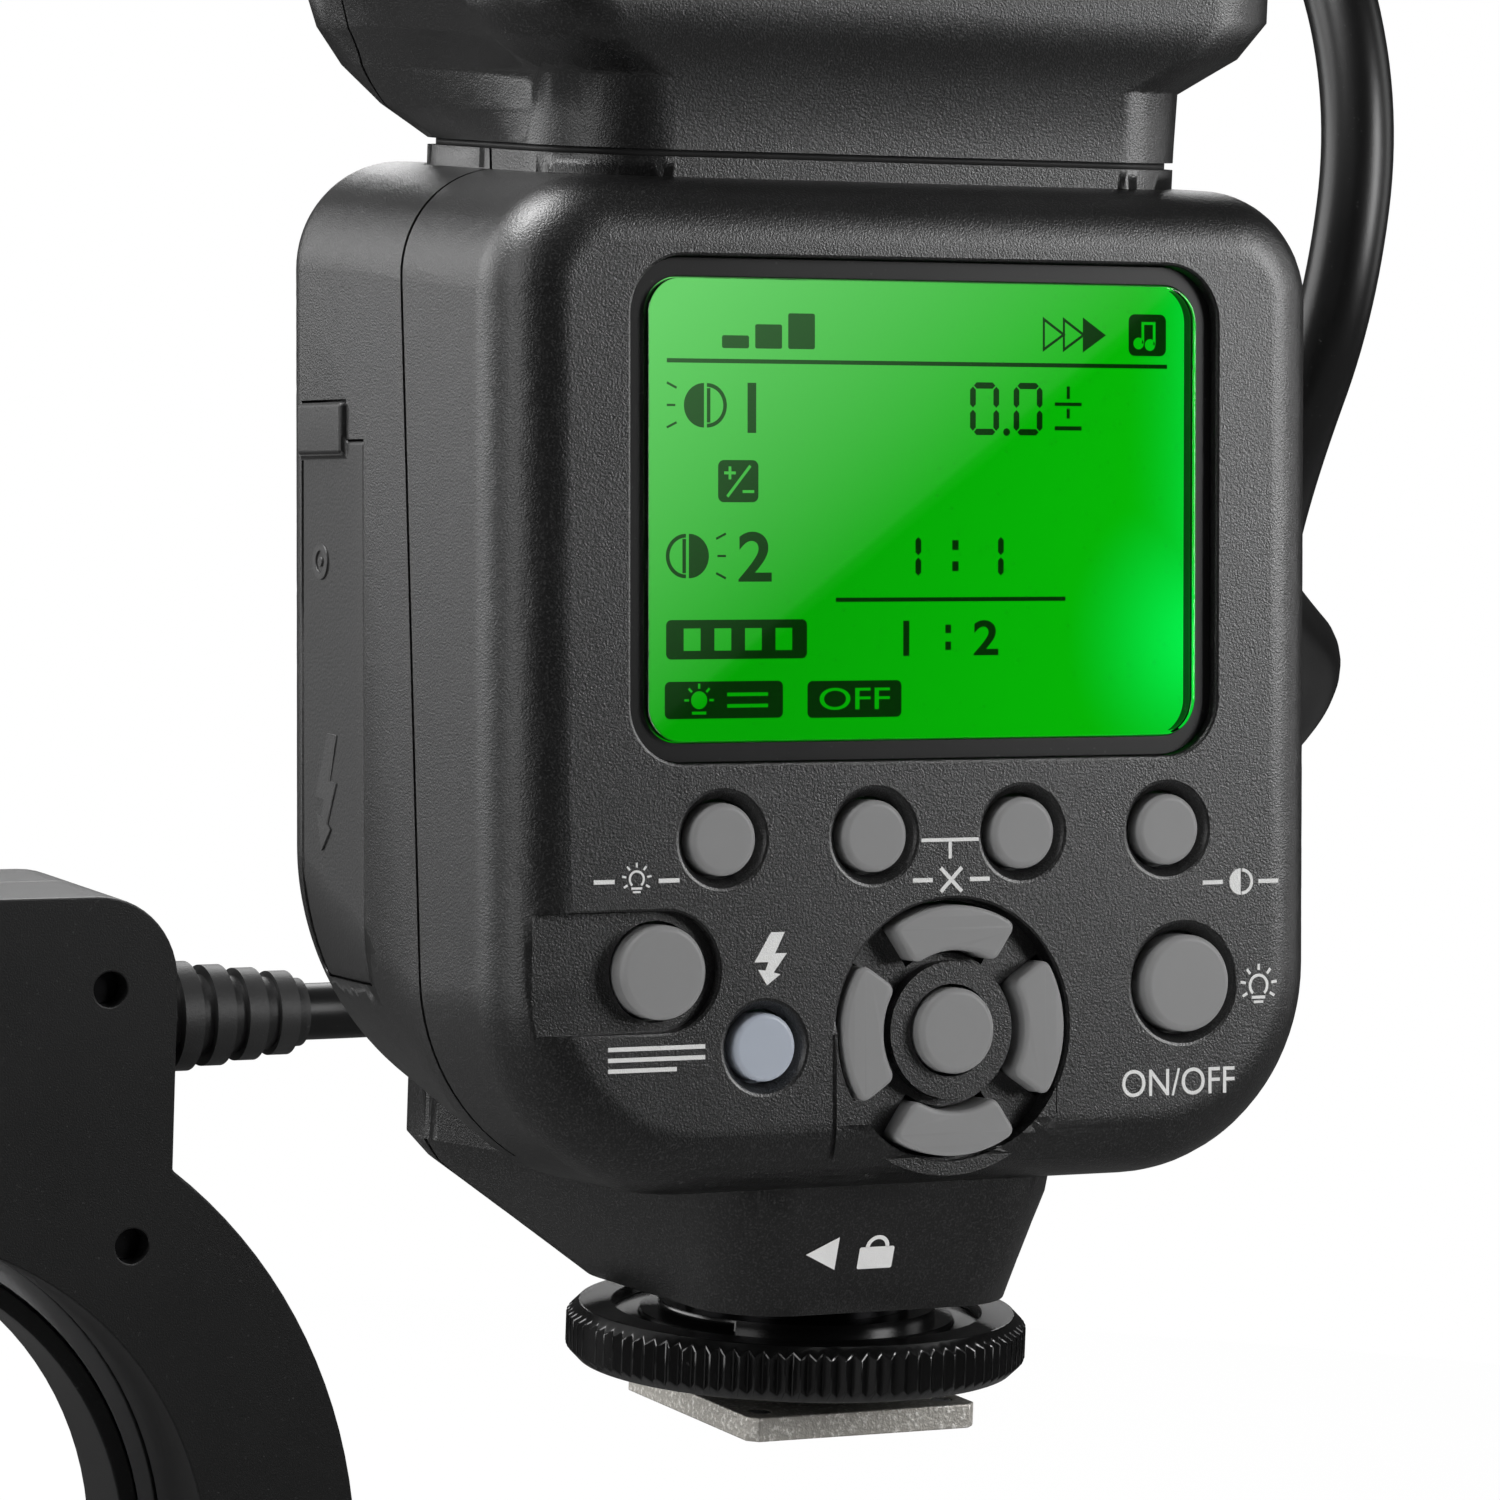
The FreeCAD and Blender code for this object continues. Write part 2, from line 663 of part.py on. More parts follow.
# Main board behind the display and the keys

main_front = glass_front + " + 0.15 + guide_thick + board_thick"
keep(slab("main_board", ("-unit_half + wall + 0.3", "unit_half - wall - 0.3"),
          ("unit_bottom + wall + 3", "unit_top - wall - 1"), main_front, "board_thick",
          ("bottom_corner - wall - 0.3", "top_corner - wall - 0.3")), "main_board")

# Front shell: openings for the battery door on the right and for the port cover on the left

cell_low = "cell_depth - cell_radius"
stack_tall = "4 * cell_pitch"
door_pin_x = "unit_half - pin_radius - 0.9"
door_pin_y = "door_reach + 0.3"
knuckle = "pin_radius + 0.8"
door_bottom = "door_floor - door_slide - door_gap"
door_recess = box("door_recess", "unit_half - door_thick - 0.6", "-door_back - door_gap", door_bottom,
                  "door_thick + 2", "door_reach + door_back + 2 * door_gap",
                  "door_height + door_slide + 2 * door_gap")
knuckle_well = rod("knuckle_well", door_pin_x, door_pin_y, door_bottom, "(%s) + door_gap" % knuckle,
                   "door_height + door_slide + 2 * door_gap", "Z")
knuckle_side = box("knuckle_side", door_pin_x, door_pin_y + " - 1", door_bottom, "3",
                   "1 + (%s) + door_gap" % knuckle, "door_height + door_slide + 2 * door_gap")
cell_mouth = box("cell_mouth", "0", cell_low, "cell_floor", "unit_half", "2 * cell_radius", stack_tall)
pin_bore = rod("pin_bore", door_pin_x, door_pin_y, door_bottom + " - 1.6", "pin_radius",
               "door_height + door_slide + 2 * door_gap + 3.2", "Z")
cover_inside = housing_block("cover_inside", "cover_thick")
cover_recess = cut("cover_recess", box("cover_space", "-unit_half - 1", "cover_back - 0.1", "cover_floor - 0.1",
                                       "8", "cover_reach + 0.2", "cover_height + 0.2"), [cover_inside])
tab_recess = box("tab_recess", "-unit_half - 1", "cover_back + 3", "cover_floor + cover_height", "1 + cover_thick",
                 "cover_reach - 3", "3")
sync_height = "cover_floor + 28"
power_height_low = "cover_floor + 6"
sync_hole = rod("sync_hole", "-unit_half - 1", "cover_back + cover_reach / 2", sync_height,
                "socket_radius + 0.05", "wall + 3", "X")
power_hole = box("power_hole", "-unit_half - 1", "cover_back + 1.45", power_height_low + " - 0.05",
                 "wall + 3", "cover_reach - 2.9", "12.1")
front_blank = shell_blank("front_blank", True)
door_wall = box("door_wall", "unit_half - door_thick - 2.4", "-door_back - 1", door_bottom + " - 2",
                "2.4", "unit_front - wall + door_back + 1", "door_height + door_slide + 5")
front_walls = fuse("front_walls", [front_blank, common("door_backing", [unit_block, door_wall])])
keep(cut("front_shell", front_walls, [door_recess, knuckle_well, knuckle_side, cell_mouth, pin_bore,
                                      cover_recess, tab_recess, sync_hole, power_hole]), "front_shell")

# Batteries: a cage with four cells lying across the unit, contacts at both ends

cell_back = "cell_depth - cell_radius - 0.1"
cage_outer = box("cage_outer", "-cell_left - 2.6", cell_back + " - cage_wall", "cell_floor - 0.1 - cage_wall",
                 "cell_length + 2.8",
                 "unit_front - wall - 0.2 - (%s - cage_wall)" % cell_back,
                 "4 * cell_pitch + 0.2 + 2 * cage_wall")
cage_slot = box("cage_slot", "-cell_left - 1.5", cell_back, "cell_floor - 0.1", "cell_length + 10",
                "2 * cell_radius + 0.2", "4 * cell_pitch + 0.2")
corner_trim = common("corner_trim", [cage_outer, unit_hollow])
keep(cut("battery_cage", corner_trim, [cage_slot]), "battery_cage")
cells = []
left_contacts = []
right_contacts = []
for number in range(4):
    middle = "cell_floor + %s * cell_pitch" % (number + 0.5)
    can = rod("cell_can_%d" % number, "-cell_left", "cell_depth", middle, "cell_radius", "cell_length - 1.2", "X")
    nub_at = "-cell_left + cell_length - 1.3" if number % 2 else "-cell_left - 1"
    nub = rod("cell_nub_%d" % number, nub_at, "cell_depth", middle, "2.6", "1.1", "X")
    cells.append(fuse("cell_%d" % number, [can, nub]))
for pair in range(2):
    floor = "cell_floor + %d * cell_pitch + 1" % (2 * pair)
    left_contacts.append(box("left_contact_%d" % pair, "-cell_left - 1.5", "cell_depth - 4", floor,
                             "contact_thick", "8", "2 * cell_pitch - 2"))
    strip = box("right_strip_%d" % pair, "unit_half - door_thick - 0.58 - contact_thick", "cell_depth - 3.6",
                floor, "contact_thick", "7.2", "2 * cell_pitch - 2")
    springs = [
        taper("right_spring_%d" % number, "cell_length - cell_left + 0.3", "cell_depth",
              "cell_floor + %s * cell_pitch" % (number + 0.5), "1.6", "3", "contact_reach", "X")
        for number in (2 * pair, 2 * pair + 1)
    ]
    right_contacts.append(fuse("right_contact_%d" % pair, [strip] + springs))
keep(group("battery_cells", cells), "battery_cells")
keep(group("battery_contacts", left_contacts), "battery_contacts")

# Battery door: it slides down on its bracket, and the bracket swings on a pin fixed in the shell

door_plate = box("door_plate", "unit_half - door_thick", "-door_back", "door_floor", "door_thick",
                 "door_reach + door_back - (%s)" % knuckle, "door_height")
keep(rod("door_hinge_pin", door_pin_x, door_pin_y, door_bottom + " - 1.5", "pin_radius - 0.03",
         "door_height + door_slide + 2 * door_gap + 3", "Z"), "door_hinge_pin")
bracket_floor = "door_floor + 8"
bracket_tall = "door_height - 16"
bracket_tube = rod("bracket_tube", door_pin_x, door_pin_y, bracket_floor, knuckle, bracket_tall, "Z")
bracket_leaf = box("bracket_leaf", "unit_half - door_thick - 0.56", "0.6", bracket_floor, "0.5",
                   door_pin_y + " - 0.6", bracket_tall)
bracket_bore = rod("bracket_bore", door_pin_x, door_pin_y, bracket_floor + " - 1", "pin_radius + 0.02",
                   bracket_tall + " + 2", "Z")
keep(cut("door_bracket", fuse("bracket_blank", [bracket_tube, bracket_leaf]), [bracket_bore]), "door_bracket")
keep(door_plate, "battery_door")
keep(group("door_contacts", right_contacts), "door_contacts")

# Head: it stands level on its neck, with the capacitor and the charger board inside

head_floor = "%s + collar_rise + neck_gap" % level_top
skirt = head_floor + " + flare_height"


def head_body(name, shrink):
    """The head's outline from its neck to its top, drawn in by a wall."""
    levels = []
    for up, ahead, behind in FLARE:
        levels.append((
            "%s + %s * flare_height + %s" % (head_floor, up, shrink),
            "collar_half + %s * (head_half - collar_half) - %s" % (behind, shrink),
            "collar_half + %s * (head_half - collar_half) - %s" % (ahead, shrink),
            "collar_back + %s * (head_back - collar_back) - %s" % (behind, shrink),
            "collar_front + %s * (head_front - collar_front) - %s" % (ahead, shrink),
            "head_corner - %s" % shrink,
        ))
    levels.append(("%s + head_height - %s" % (skirt, shrink),) + levels[-1][1:])
    return stacked(name, levels)


head_block = head_body("head_block", "0")
doc.recompute()
head_top = head_block.Shape.BoundBox.ZMax
head_round = round_edges("head_round", head_block, size("head_edge"), lambda item: lies_at(item, "z", head_top))
head_hollow = head_body("head_hollow", "wall")
neck_bore = rod("neck_bore", "0", hub_middle, head_floor + " - 1", "hub_radius + 0.1", "wall + 2", "Z")
relief_x = "head_half - %s" % RELIEF_INSET
relief_z = "%s + %s" % (skirt, RELIEF_RISE)
relief_hole = rod("relief_hole", relief_x, "head_front - wall - 2", relief_z, "cord_radius + 1.05", "wall + 4",
                  "Y")
head_shell = cut("head_shell", head_round, [head_hollow, neck_bore, relief_hole])
behind_head = box("behind_head", "-60", "head_split - 60", "60", "120", "60", "90")
ahead_of_head = box("ahead_of_head", "-60", "head_split", "60", "120", "60", "90")
keep(common("head_rear_shell", [head_shell, behind_head]), "head_rear_shell", UPRIGHT)
keep(common("head_front_shell", [head_shell, ahead_of_head]), "head_front_shell", UPRIGHT)
hub_floor = "%s - wall - 0.7" % level_top
hub_outer = rod("hub_outer", "0", hub_middle, hub_floor, "hub_radius", "collar_rise + wall + 5", "Z")
hub_inner = rod("hub_inner", "0", hub_middle, hub_floor + " - 2", "hub_radius - 1.6", "collar_rise + wall + 12",
                "Z")
hub_flange = rod("hub_flange", "0", hub_middle, hub_floor, "hub_radius + 2", "0.65", "Z")
keep(cut("neck_hub", fuse("hub_blank", [hub_outer, hub_flange]), [hub_inner]), "neck_hub", UPRIGHT)
board_floor = skirt + " + wall + 0.2"
board_outline = ("head_half - wall - 0.3", "head_half - wall - 0.3", "head_back - wall - 0.3",
                 "head_front - wall - 0.3", "head_corner - wall - 0.3")
charger = stacked("charger", [(board_floor,) + board_outline, (board_floor + " + board_thick",) + board_outline])
coil_core = box("coil_core", "head_half - wall - 11.8", "-head_back + wall + 2", board_floor + " + board_thick", "9",
                "9", "8")
keep(fuse("charger_board", [charger, coil_core]), "charger_board", UPRIGHT)
capacitor = rod("capacitor", "-capacitor_length / 2 - 4", "(head_front - head_back) / 2",
                board_floor + " + board_thick + 0.3 + capacitor_radius", "capacitor_radius", "capacitor_length",
                "X")
keep(capacitor, "flash_capacitor", UPRIGHT)

# Port cover and the sockets behind it

cover_sheet = common("cover_sheet", [unit_block, box("cover_block", "-unit_half", "cover_back", "cover_floor", "8",
                                                     "cover_reach", "cover_height")])
cover_core = housing_block("cover_core", "cover_thick - 0.1")
cover_lip = common("cover_lip", [housing_block("cover_lip_core", "cover_thick - 0.7"),
                                 box("cover_lip_space", "-unit_half", "cover_back - 1", "cover_floor - 1", "9",
                                     "cover_reach + 2", "3")])
cover_plate = cut("cover_plate", cover_sheet, [cover_core, cover_lip])
cover_tab = box("cover_tab", "-unit_half - 0.5", "cover_back + 3.1", "cover_floor + cover_height - 1",
                "cover_thick + 0.3", "cover_reach - 3.2", "3.8")
keep(fuse("port_cover", [cover_plate, cover_tab]), "port_cover")
sync_body = rod("sync_body", "-unit_half + cover_thick + 0.1", "cover_back + cover_reach / 2", sync_height,
                "socket_radius", "5", "X")
sync_bore = rod("sync_bore", "-unit_half + cover_thick - 1", "cover_back + cover_reach / 2", sync_height, "1.9",
                "4", "X")
sync_pin = rod("sync_pin", "-unit_half + cover_thick + 1", "cover_back + cover_reach / 2", sync_height, "0.7",
               "3", "X")
keep(fuse("sync_socket", [cut("sync_shell", sync_body, [sync_bore]), sync_pin]), "sync_socket")
power_body = box("power_body", "-unit_half + cover_thick + 0.1", "cover_back + 1.5", power_height_low, "5",
                 "cover_reach - 3", "12")
power_bores = [
    rod("power_bore_%d" % step, "-unit_half + cover_thick - 1", "cover_back + cover_reach / 2",
        "%s + 6 + %d * 3.4" % (power_height_low, step), "1.0", "5", "X")
    for step in (-1, 0, 1)
]
keep(cut("power_socket", power_body, power_bores), "power_socket")

# Foot: plate, threaded post, contacts and the lock

post = rod("post", "0", "0", "0", "post_radius", "block_floor", "Z")
post_stub = rod("post_stub", "0", "0", "block_floor - 1", "post_radius - 1.55", "4", "Z")
pin_passage = rod("pin_passage", "0", "foot_long / 2 - 3.6", "-foot_thick - 1", "lock_pin_radius + 0.05",
                  "foot_thick + block_floor + 6", "Z")
keep(cut("foot_post", fuse("post_blank", [post, post_stub]), [pin_passage]), "foot_post", UPRIGHT)
foot_blank = box("foot_blank", "-foot_wide / 2", "-foot_back", "-foot_thick", "foot_wide", "foot_long",
                 "foot_thick")
doc.recompute()
foot_corners = doc.addObject("Part::Chamfer", "foot_corners")
foot_corners.Base = foot_blank
foot_corners.Edges = [
    (index, size("foot_chamfer") / 2, size("foot_chamfer") / 2)
    for index, edge in enumerate(foot_blank.Shape.Edges, start=1)
    if runs_along(edge, Vector(0, 0, 1))
]
insert_pocket = box("insert_pocket", "-6.5", "-6.5", "-foot_thick - 1", "13", "12", "1.8")
screw_places = [("-foot_wide / 2 + 1.9", "-foot_back + 2.2"), ("foot_wide / 2 - 1.9", "-foot_back + 2.2"),
                ("-foot_wide / 2 + 1.9", "foot_long - foot_back - 2.2"),
                ("foot_wide / 2 - 1.9", "foot_long - foot_back - 2.2")]
sinks = []
screws = []
for number, (x, y) in enumerate(screw_places):
    sinks.append(taper("screw_sink_%d" % number, x, y, "-foot_thick - 0.01", "1.5", "0.75", "foot_thick + 0.02",
                       "Z"))
    screws.append(taper("foot_screw_%d" % number, x, y, "-foot_thick + 0.05", "1.42", "0.72",
                        "foot_thick - 0.1", "Z"))
keep(cut("foot_plate", foot_corners, [insert_pocket, pin_passage] + sinks), "foot_plate", UPRIGHT)
keep(group("foot_screws", screws), "foot_screws", UPRIGHT)
pin_spots = [(0, -1.8), (-4.2, -4.6), (4.2, -4.6), (-4.2, 2.2), (4.2, 2.2)]
contact_bores = [rod("contact_bore_%d" % number, x, y, "-foot_thick - 1", "contact_radius + 0.05", "3", "Z")
                 for number, (x, y) in enumerate(pin_spots)]
insert_block = box("insert_block", "-6.45", "-6.45", "-foot_thick", "12.9", "11.9", "0.78")
keep(cut("contact_insert", insert_block, contact_bores), "contact_insert", UPRIGHT)
contacts = [rod("contact_%d" % number, x, y, "-foot_thick - 0.25", "contact_radius", "0.6", "Z")
            for number, (x, y) in enumerate(pin_spots)]
keep(group("contact_pins", contacts), "contact_pins", UPRIGHT)
keep(rod("lock_pin", "0", "foot_long / 2 - 3.6", "-foot_thick - lock_pin_reach", "lock_pin_radius",
         "foot_thick + lock_pin_reach + block_floor - 1.6", "Z"), "lock_pin", UPRIGHT)

# Lock wheel: a knurled nut whose stepped collar screws along the post

collar_low = rod("collar_low", "0", "0", "wheel_floor + 0.2", "wheel_bore - thread_gap", "wheel_thick - 0.6", "Z")
collar_step = rod("collar_step", "0", "0", "wheel_floor + 0.2", "wheel_bore - 1.4", "wheel_thick + 0.2", "Z")
collar_bore = rod("collar_bore", "0", "0", "wheel_floor - 1", "post_radius + thread_gap", "wheel_thick + 4", "Z")
keep(cut("lock_collar", fuse("collar_blank", [collar_low, collar_step]), [collar_bore]), "lock_collar", UPRIGHT)
rim = doc.addObject("PartDesign::Body", "rim")
rim_sketch = body_sketch(rim, "XY_Plane", "rim_outline", "wheel_floor")
teeth = int(size("knurl_count"))
corners = []
for tooth in range(2 * teeth):
    radius = size("wheel_radius") - (size("knurl_depth") if tooth % 2 else 0)
    angle = math.pi * tooth / teeth
    corners.append(Vector(radius * math.cos(angle), radius * math.sin(angle), 0))
rim_sketch.addGeometry([Part.LineSegment(corners[index - 1], corners[index]) for index in range(2 * teeth)])
rim_pad = rim.newObject("PartDesign::Pad", "rim_pad")
rim_pad.Profile = rim_sketch
bind(rim_pad, "Length", "wheel_thick")
wheel_low = taper("wheel_low", "0", "0", "wheel_floor", "wheel_radius - 0.9", "wheel_radius + 0.6", "1.5", "Z")
wheel_high = taper("wheel_high", "0", "0", "wheel_floor + wheel_thick - 1.5", "wheel_radius + 0.6",
                   "wheel_radius - 0.9", "1.5", "Z")
wheel_mid = rod("wheel_mid", "0", "0", "wheel_floor + 1.4", "wheel_radius + 0.6", "wheel_thick - 2.8", "Z")
wheel_round = fuse("wheel_round", [wheel_low, wheel_mid, wheel_high])
wheel_bore = rod("wheel_bore_tool", "0", "0", "wheel_floor - 1", "wheel_bore", "wheel_thick + 2", "Z")
wheel_well = rod("wheel_well_tool", "0", "0", "wheel_floor + wheel_thick - 0.8", "wheel_well", "3", "Z")
keep(cut("lock_wheel", common("wheel_knurled", [rim, wheel_round]), [wheel_bore, wheel_well]), "lock_wheel",
     UPRIGHT)


# Ring head: two hollow shells round the lens, upright, with a box on top

rear_at = "ring_far"
seam_at = "ring_far + ring_shell"
face_at_front = "ring_far + ring_shell + ring_front_deep"


def ring_tube(name, start, length, outer, inner):
    """A ring about the lens axis."""
    disc = rod(name + "_disc", "0", start, "-ring_drop", outer, length, "Y")
    hole = rod(name + "_hole", "0", start + " - 1", "-ring_drop", inner, "(%s) + 2" % length, "Y")
    return cut(name, disc, [hole])


def ring_box(name, start, length, shrink):
    """The box on top of the ring."""
    return slab(name, ("-box_half + %s" % shrink, "box_half - %s" % shrink),
                ("-ring_drop + ring_bore - 6", "box_top - %s" % shrink), "%s + %s" % (start, length), length,
                ("2", "box_corner - %s" % shrink))


def ring_blank(name, start, length, shrink):
    """The outline of the ring head, without its bore."""
    disc = rod(name + "_round", "0", start, "-ring_drop", "ring_radius - %s" % shrink, length, "Y")
    return fuse(name, [disc, ring_box(name + "_box", start, length, shrink)])


rear_outline = ring_blank("rear_outline", rear_at, "ring_shell", "0")
rear_bore = rod("rear_bore", "0", rear_at + " - 1", "-ring_drop", "ring_bore", "ring_shell + 2", "Y")
rear_space = cut("rear_space", ring_blank("rear_inside", rear_at + " + ring_wall", "ring_shell", "ring_wall"),
                 [rod("rear_core", "0", rear_at, "-ring_drop", "ring_bore + ring_wall", "ring_shell + 3", "Y")])
relief_drop = "-%s" % RELIEF_DROP
relief_bore = rod("relief_bore", "box_half - ring_wall - 1", seam_at, relief_drop, "cord_radius + 1.05", "5", "X")
screw_spots = [("26.6", "0"), ("-26.6", "0"), ("29.7", "-26.7"), ("-29.7", "-26.7"), ("24", "-105"),
               ("-24", "-105")]
screw_posts = []
screw_holes = []
ring_screws = []
for number, (x, z) in enumerate(screw_spots):
    screw_posts.append(rod("screw_post_%d" % number, x, rear_at, z, "3.2", "ring_shell", "Y"))
    screw_holes.append(rod("screw_hole_%d" % number, x, rear_at + " - 1", z, "1.8", "5", "Y"))
    screw_holes.append(rod("screw_shaft_%d" % number, x, rear_at, z, "0.95", "ring_shell + 1", "Y"))
    head = rod("ring_screw_head_%d" % number, x, rear_at + " + 2.6", z, "1.7", "1.4", "Y")
    shaft = rod("ring_screw_shaft_%d" % number, x, rear_at + " + 3.9", z, "0.9", "ring_shell - 3.9", "Y")
    ring_screws.append(fuse("ring_screw_%d" % number, [head, shaft]))
release_holes = [
    box("release_hole_%s" % side, "%s" % x, rear_at + " + 3.4", "-ring_drop - 5.3", "20", "7.2", "10.6")
    for side, x in (("right", "ring_bore + ring_wall + 2"), ("left", "-ring_bore - ring_wall - 22"))
]
rear_hollowed = cut("rear_hollowed", rear_outline, [rear_space])
keep(group("ring_screws", ring_screws), "ring_screws", UPRIGHT)
keep(cut("ring_rear_shell", fuse("rear_with_posts", [rear_hollowed] + screw_posts),
         [rear_bore, relief_bore] + screw_holes + release_holes), "ring_rear_shell", UPRIGHT)

front_outline = ring_blank("front_outline", seam_at, "ring_front_deep", "0")
front_view = rod("front_view", "0", seam_at + " - 1", "-ring_drop", "ring_view", "ring_front_deep + 2", "Y")
front_space = cut("front_space", ring_blank("front_inside", seam_at + " - 1", "ring_front_deep + 1 - ring_wall",
                                            "ring_wall"),
                  [rod("front_core", "0", seam_at + " - 2", "-ring_drop", "ring_view + ring_wall",
                       "ring_front_deep + 3", "Y")])
SIDES = (("right", 0), ("left", 180))
mouths = [sector("mouth_" + side, "0", face_at_front + " + 1", "-ring_drop", "ring_radius - ring_wall",
                 "ring_view + ring_wall", "5", angle, "diffuser_spread") for side, angle in SIDES]
lamp_spots = [("box_half - 12", "-4"), ("-box_half + 12", "-4")]
lamp_holes = [rod("lamp_hole_%d" % number, x, seam_at, z, "3.25", "ring_front_deep + 2", "Y")
              for number, (x, z) in enumerate(lamp_spots)]
keep(cut("ring_front_shell", cut("front_hollowed", front_outline, [front_space]),
         [front_view, relief_bore] + mouths + lamp_holes), "ring_front_shell", UPRIGHT)
lamps = [rod("lamp_%d" % number, x, seam_at + " + 2", z, "3.2", "ring_front_deep - 1.6", "Y")
         for number, (x, z) in enumerate(lamp_spots)]
keep(group("focusing_lamps", lamps), "focusing_lamps", UPRIGHT)
for side, angle in SIDES:
    lens = sector("lens_" + side, "0", face_at_front + " + 0.8", "-ring_drop", "ring_radius - ring_wall - 0.05",
                  "ring_view + ring_wall + 0.05", "2.8", angle, "diffuser_spread", 0.4)
    keep(lens, "diffuser_" + side, UPRIGHT)
reflectors = []
tubes = []
for side, angle in SIDES:
    outer = sector("trough_" + side, "0", face_at_front + " - 2.1", "-ring_drop", "ring_radius - ring_wall - 0.3",
                   "ring_view + ring_wall + 0.3", "ring_front_deep - 2.6", angle, "diffuser_spread", 2)
    inner = sector("trough_space_" + side, "0", face_at_front + " - 2", "-ring_drop",
                   "ring_radius - ring_wall - 1.1", "ring_view + ring_wall + 1.1", "ring_front_deep - 3.3", angle,
                   "diffuser_spread", 4)
    reflectors.append(cut("reflector_" + side, outer, [inner]))
    ring = doc.addObject("Part::Torus", "tube_" + side)
    bind(ring, "Radius1", "(ring_radius + ring_view) / 2 + 0.5")
    bind(ring, "Radius2", "tube_thick")
    bind(ring, "Angle3", "diffuser_spread - %s" % TUBE_SHORT)
    start = angle - (size("diffuser_spread") - TUBE_SHORT) / 2
    ring.Placement.Rotation = FreeCAD.Rotation(Vector(0, 1, 0), -start).multiply(
        FreeCAD.Rotation(Vector(1, 0, 0), 90))
    place(ring, "0", face_at_front + " - ring_front_deep + 1.9 + tube_thick", "-ring_drop")
    tubes.append(ring)
keep(group("reflectors", reflectors), "reflectors", UPRIGHT)
keep(group("flash_tubes", tubes), "flash_tubes", UPRIGHT)
board = ring_tube("ring_board_plate", rear_at + " + ring_shell - 1.5", "1.3", "ring_radius - ring_wall - 0.3",
                  "ring_bore + ring_wall + 0.3")
shaft_holes = [rod("board_hole_%d" % number, x, rear_at, z, "3.4", "ring_shell + 1", "Y")
               for number, (x, z) in enumerate(screw_spots)]
keep(cut("ring_board", board, shaft_holes), "ring_board", UPRIGHT)
for side, x, flange_x in (("right", "ring_radius - 6.5", "ring_radius - 8.5"),
                          ("left", "-ring_radius - 1.5", "-ring_radius + 6.5")):
    cap = box("release_cap_" + side, x, rear_at + " + 3.6", "-ring_drop - 5.1", "8", "6.8", "10.2")
    flange = box("release_flange_" + side, flange_x, rear_at + " + 2.2", "-ring_drop - 6.5", "2", "9", "13")
    keep(fuse("release_button_" + side, [cap, flange]), "release_button_" + side, UPRIGHT)


# Cord with a strain relief at each end

def strain_relief(label, x, y, z, axis, turn):
    """A ribbed sleeve that narrows away from its housing."""
    sleeve = taper(label + "_sleeve", x, y, z, "relief_radius - 1.4", "relief_tip - 0.4", "relief_length", axis)
    parts = [sleeve]
    ribs = 5
    start = {"X": x, "Y": y}[axis]
    for number in range(ribs):
        at = "%s + %s * relief_length" % (start, round(number / ribs + 0.01, 3))
        radius = "relief_radius - %s * (relief_radius - relief_tip)" % round(number / ribs, 3)
        spot = (at, y, z) if axis == "X" else (x, at, z)
        parts.append(rod("%s_rib_%d" % (label, number), spot[0], spot[1], spot[2], radius, "relief_length / 9",
                         axis))
    plug_start = "%s - wall - 2" % start
    spot = (plug_start, y, z) if axis == "X" else (x, plug_start, z)
    parts.append(rod(label + "_plug", spot[0], spot[1], spot[2], "cord_radius + 1", "wall + 2.5", axis))
    keep(fuse(label, parts), label, turn)


strain_relief("ring_relief", "box_half + %s" % RELIEF_GAP, seam_at, relief_drop, "X", UPRIGHT)
strain_relief("unit_relief", relief_x, "head_front + %s" % RELIEF_GAP, relief_z, "Y", UPRIGHT)

# The cord lies free between the two reliefs. Its route is chosen by eye in the frame of the shoe foot, as
# points between the two ends, and the run next to each relief points straight out of it.
ROUTE = [
    (23.5, 79.5, 110.5),
    (34.5, 91.0, 116.5),
    (49.5, 93.0, 124.0),
    (62.5, 83.0, 127.0),
    (69.0, 66.0, 124.0),
    (71.0, 50.0, 112.0),
    (70.5, 41.0, 96.5),
    (68.0, 39.5, 80.0),
    (67.0, 46.0, 66.0),
    (73.5, 60.0, 55.5),
    (86.0, 77.0, 51.5),
    (101.0, 92.5, 45.0),
    (109.0, 116.0, 34.0),
    (108.0, 143.0, 22.0),
    (102.0, 169.0, 11.0),
    (91.0, 194.0, 2.0),
]
doc.recompute()
relief_height = doc.getObject("unit_relief_sleeve").Placement.Base.z
unit_end = Vector(size("head_half") - RELIEF_INSET, size("head_front") + RELIEF_GAP + size("relief_length"),
                  size("foot_thick") + relief_height)
ring_end = Vector(size("box_half") + RELIEF_GAP + size("relief_length"), size("ring_far") + size("ring_shell"),
                  size("foot_thick") - RELIEF_DROP)
route = [unit_end, unit_end + Vector(0, UNIT_RUN, 0)] + [Vector(*point) for point in ROUTE]
route += [ring_end + Vector(RING_RUN, 0, 0), ring_end]


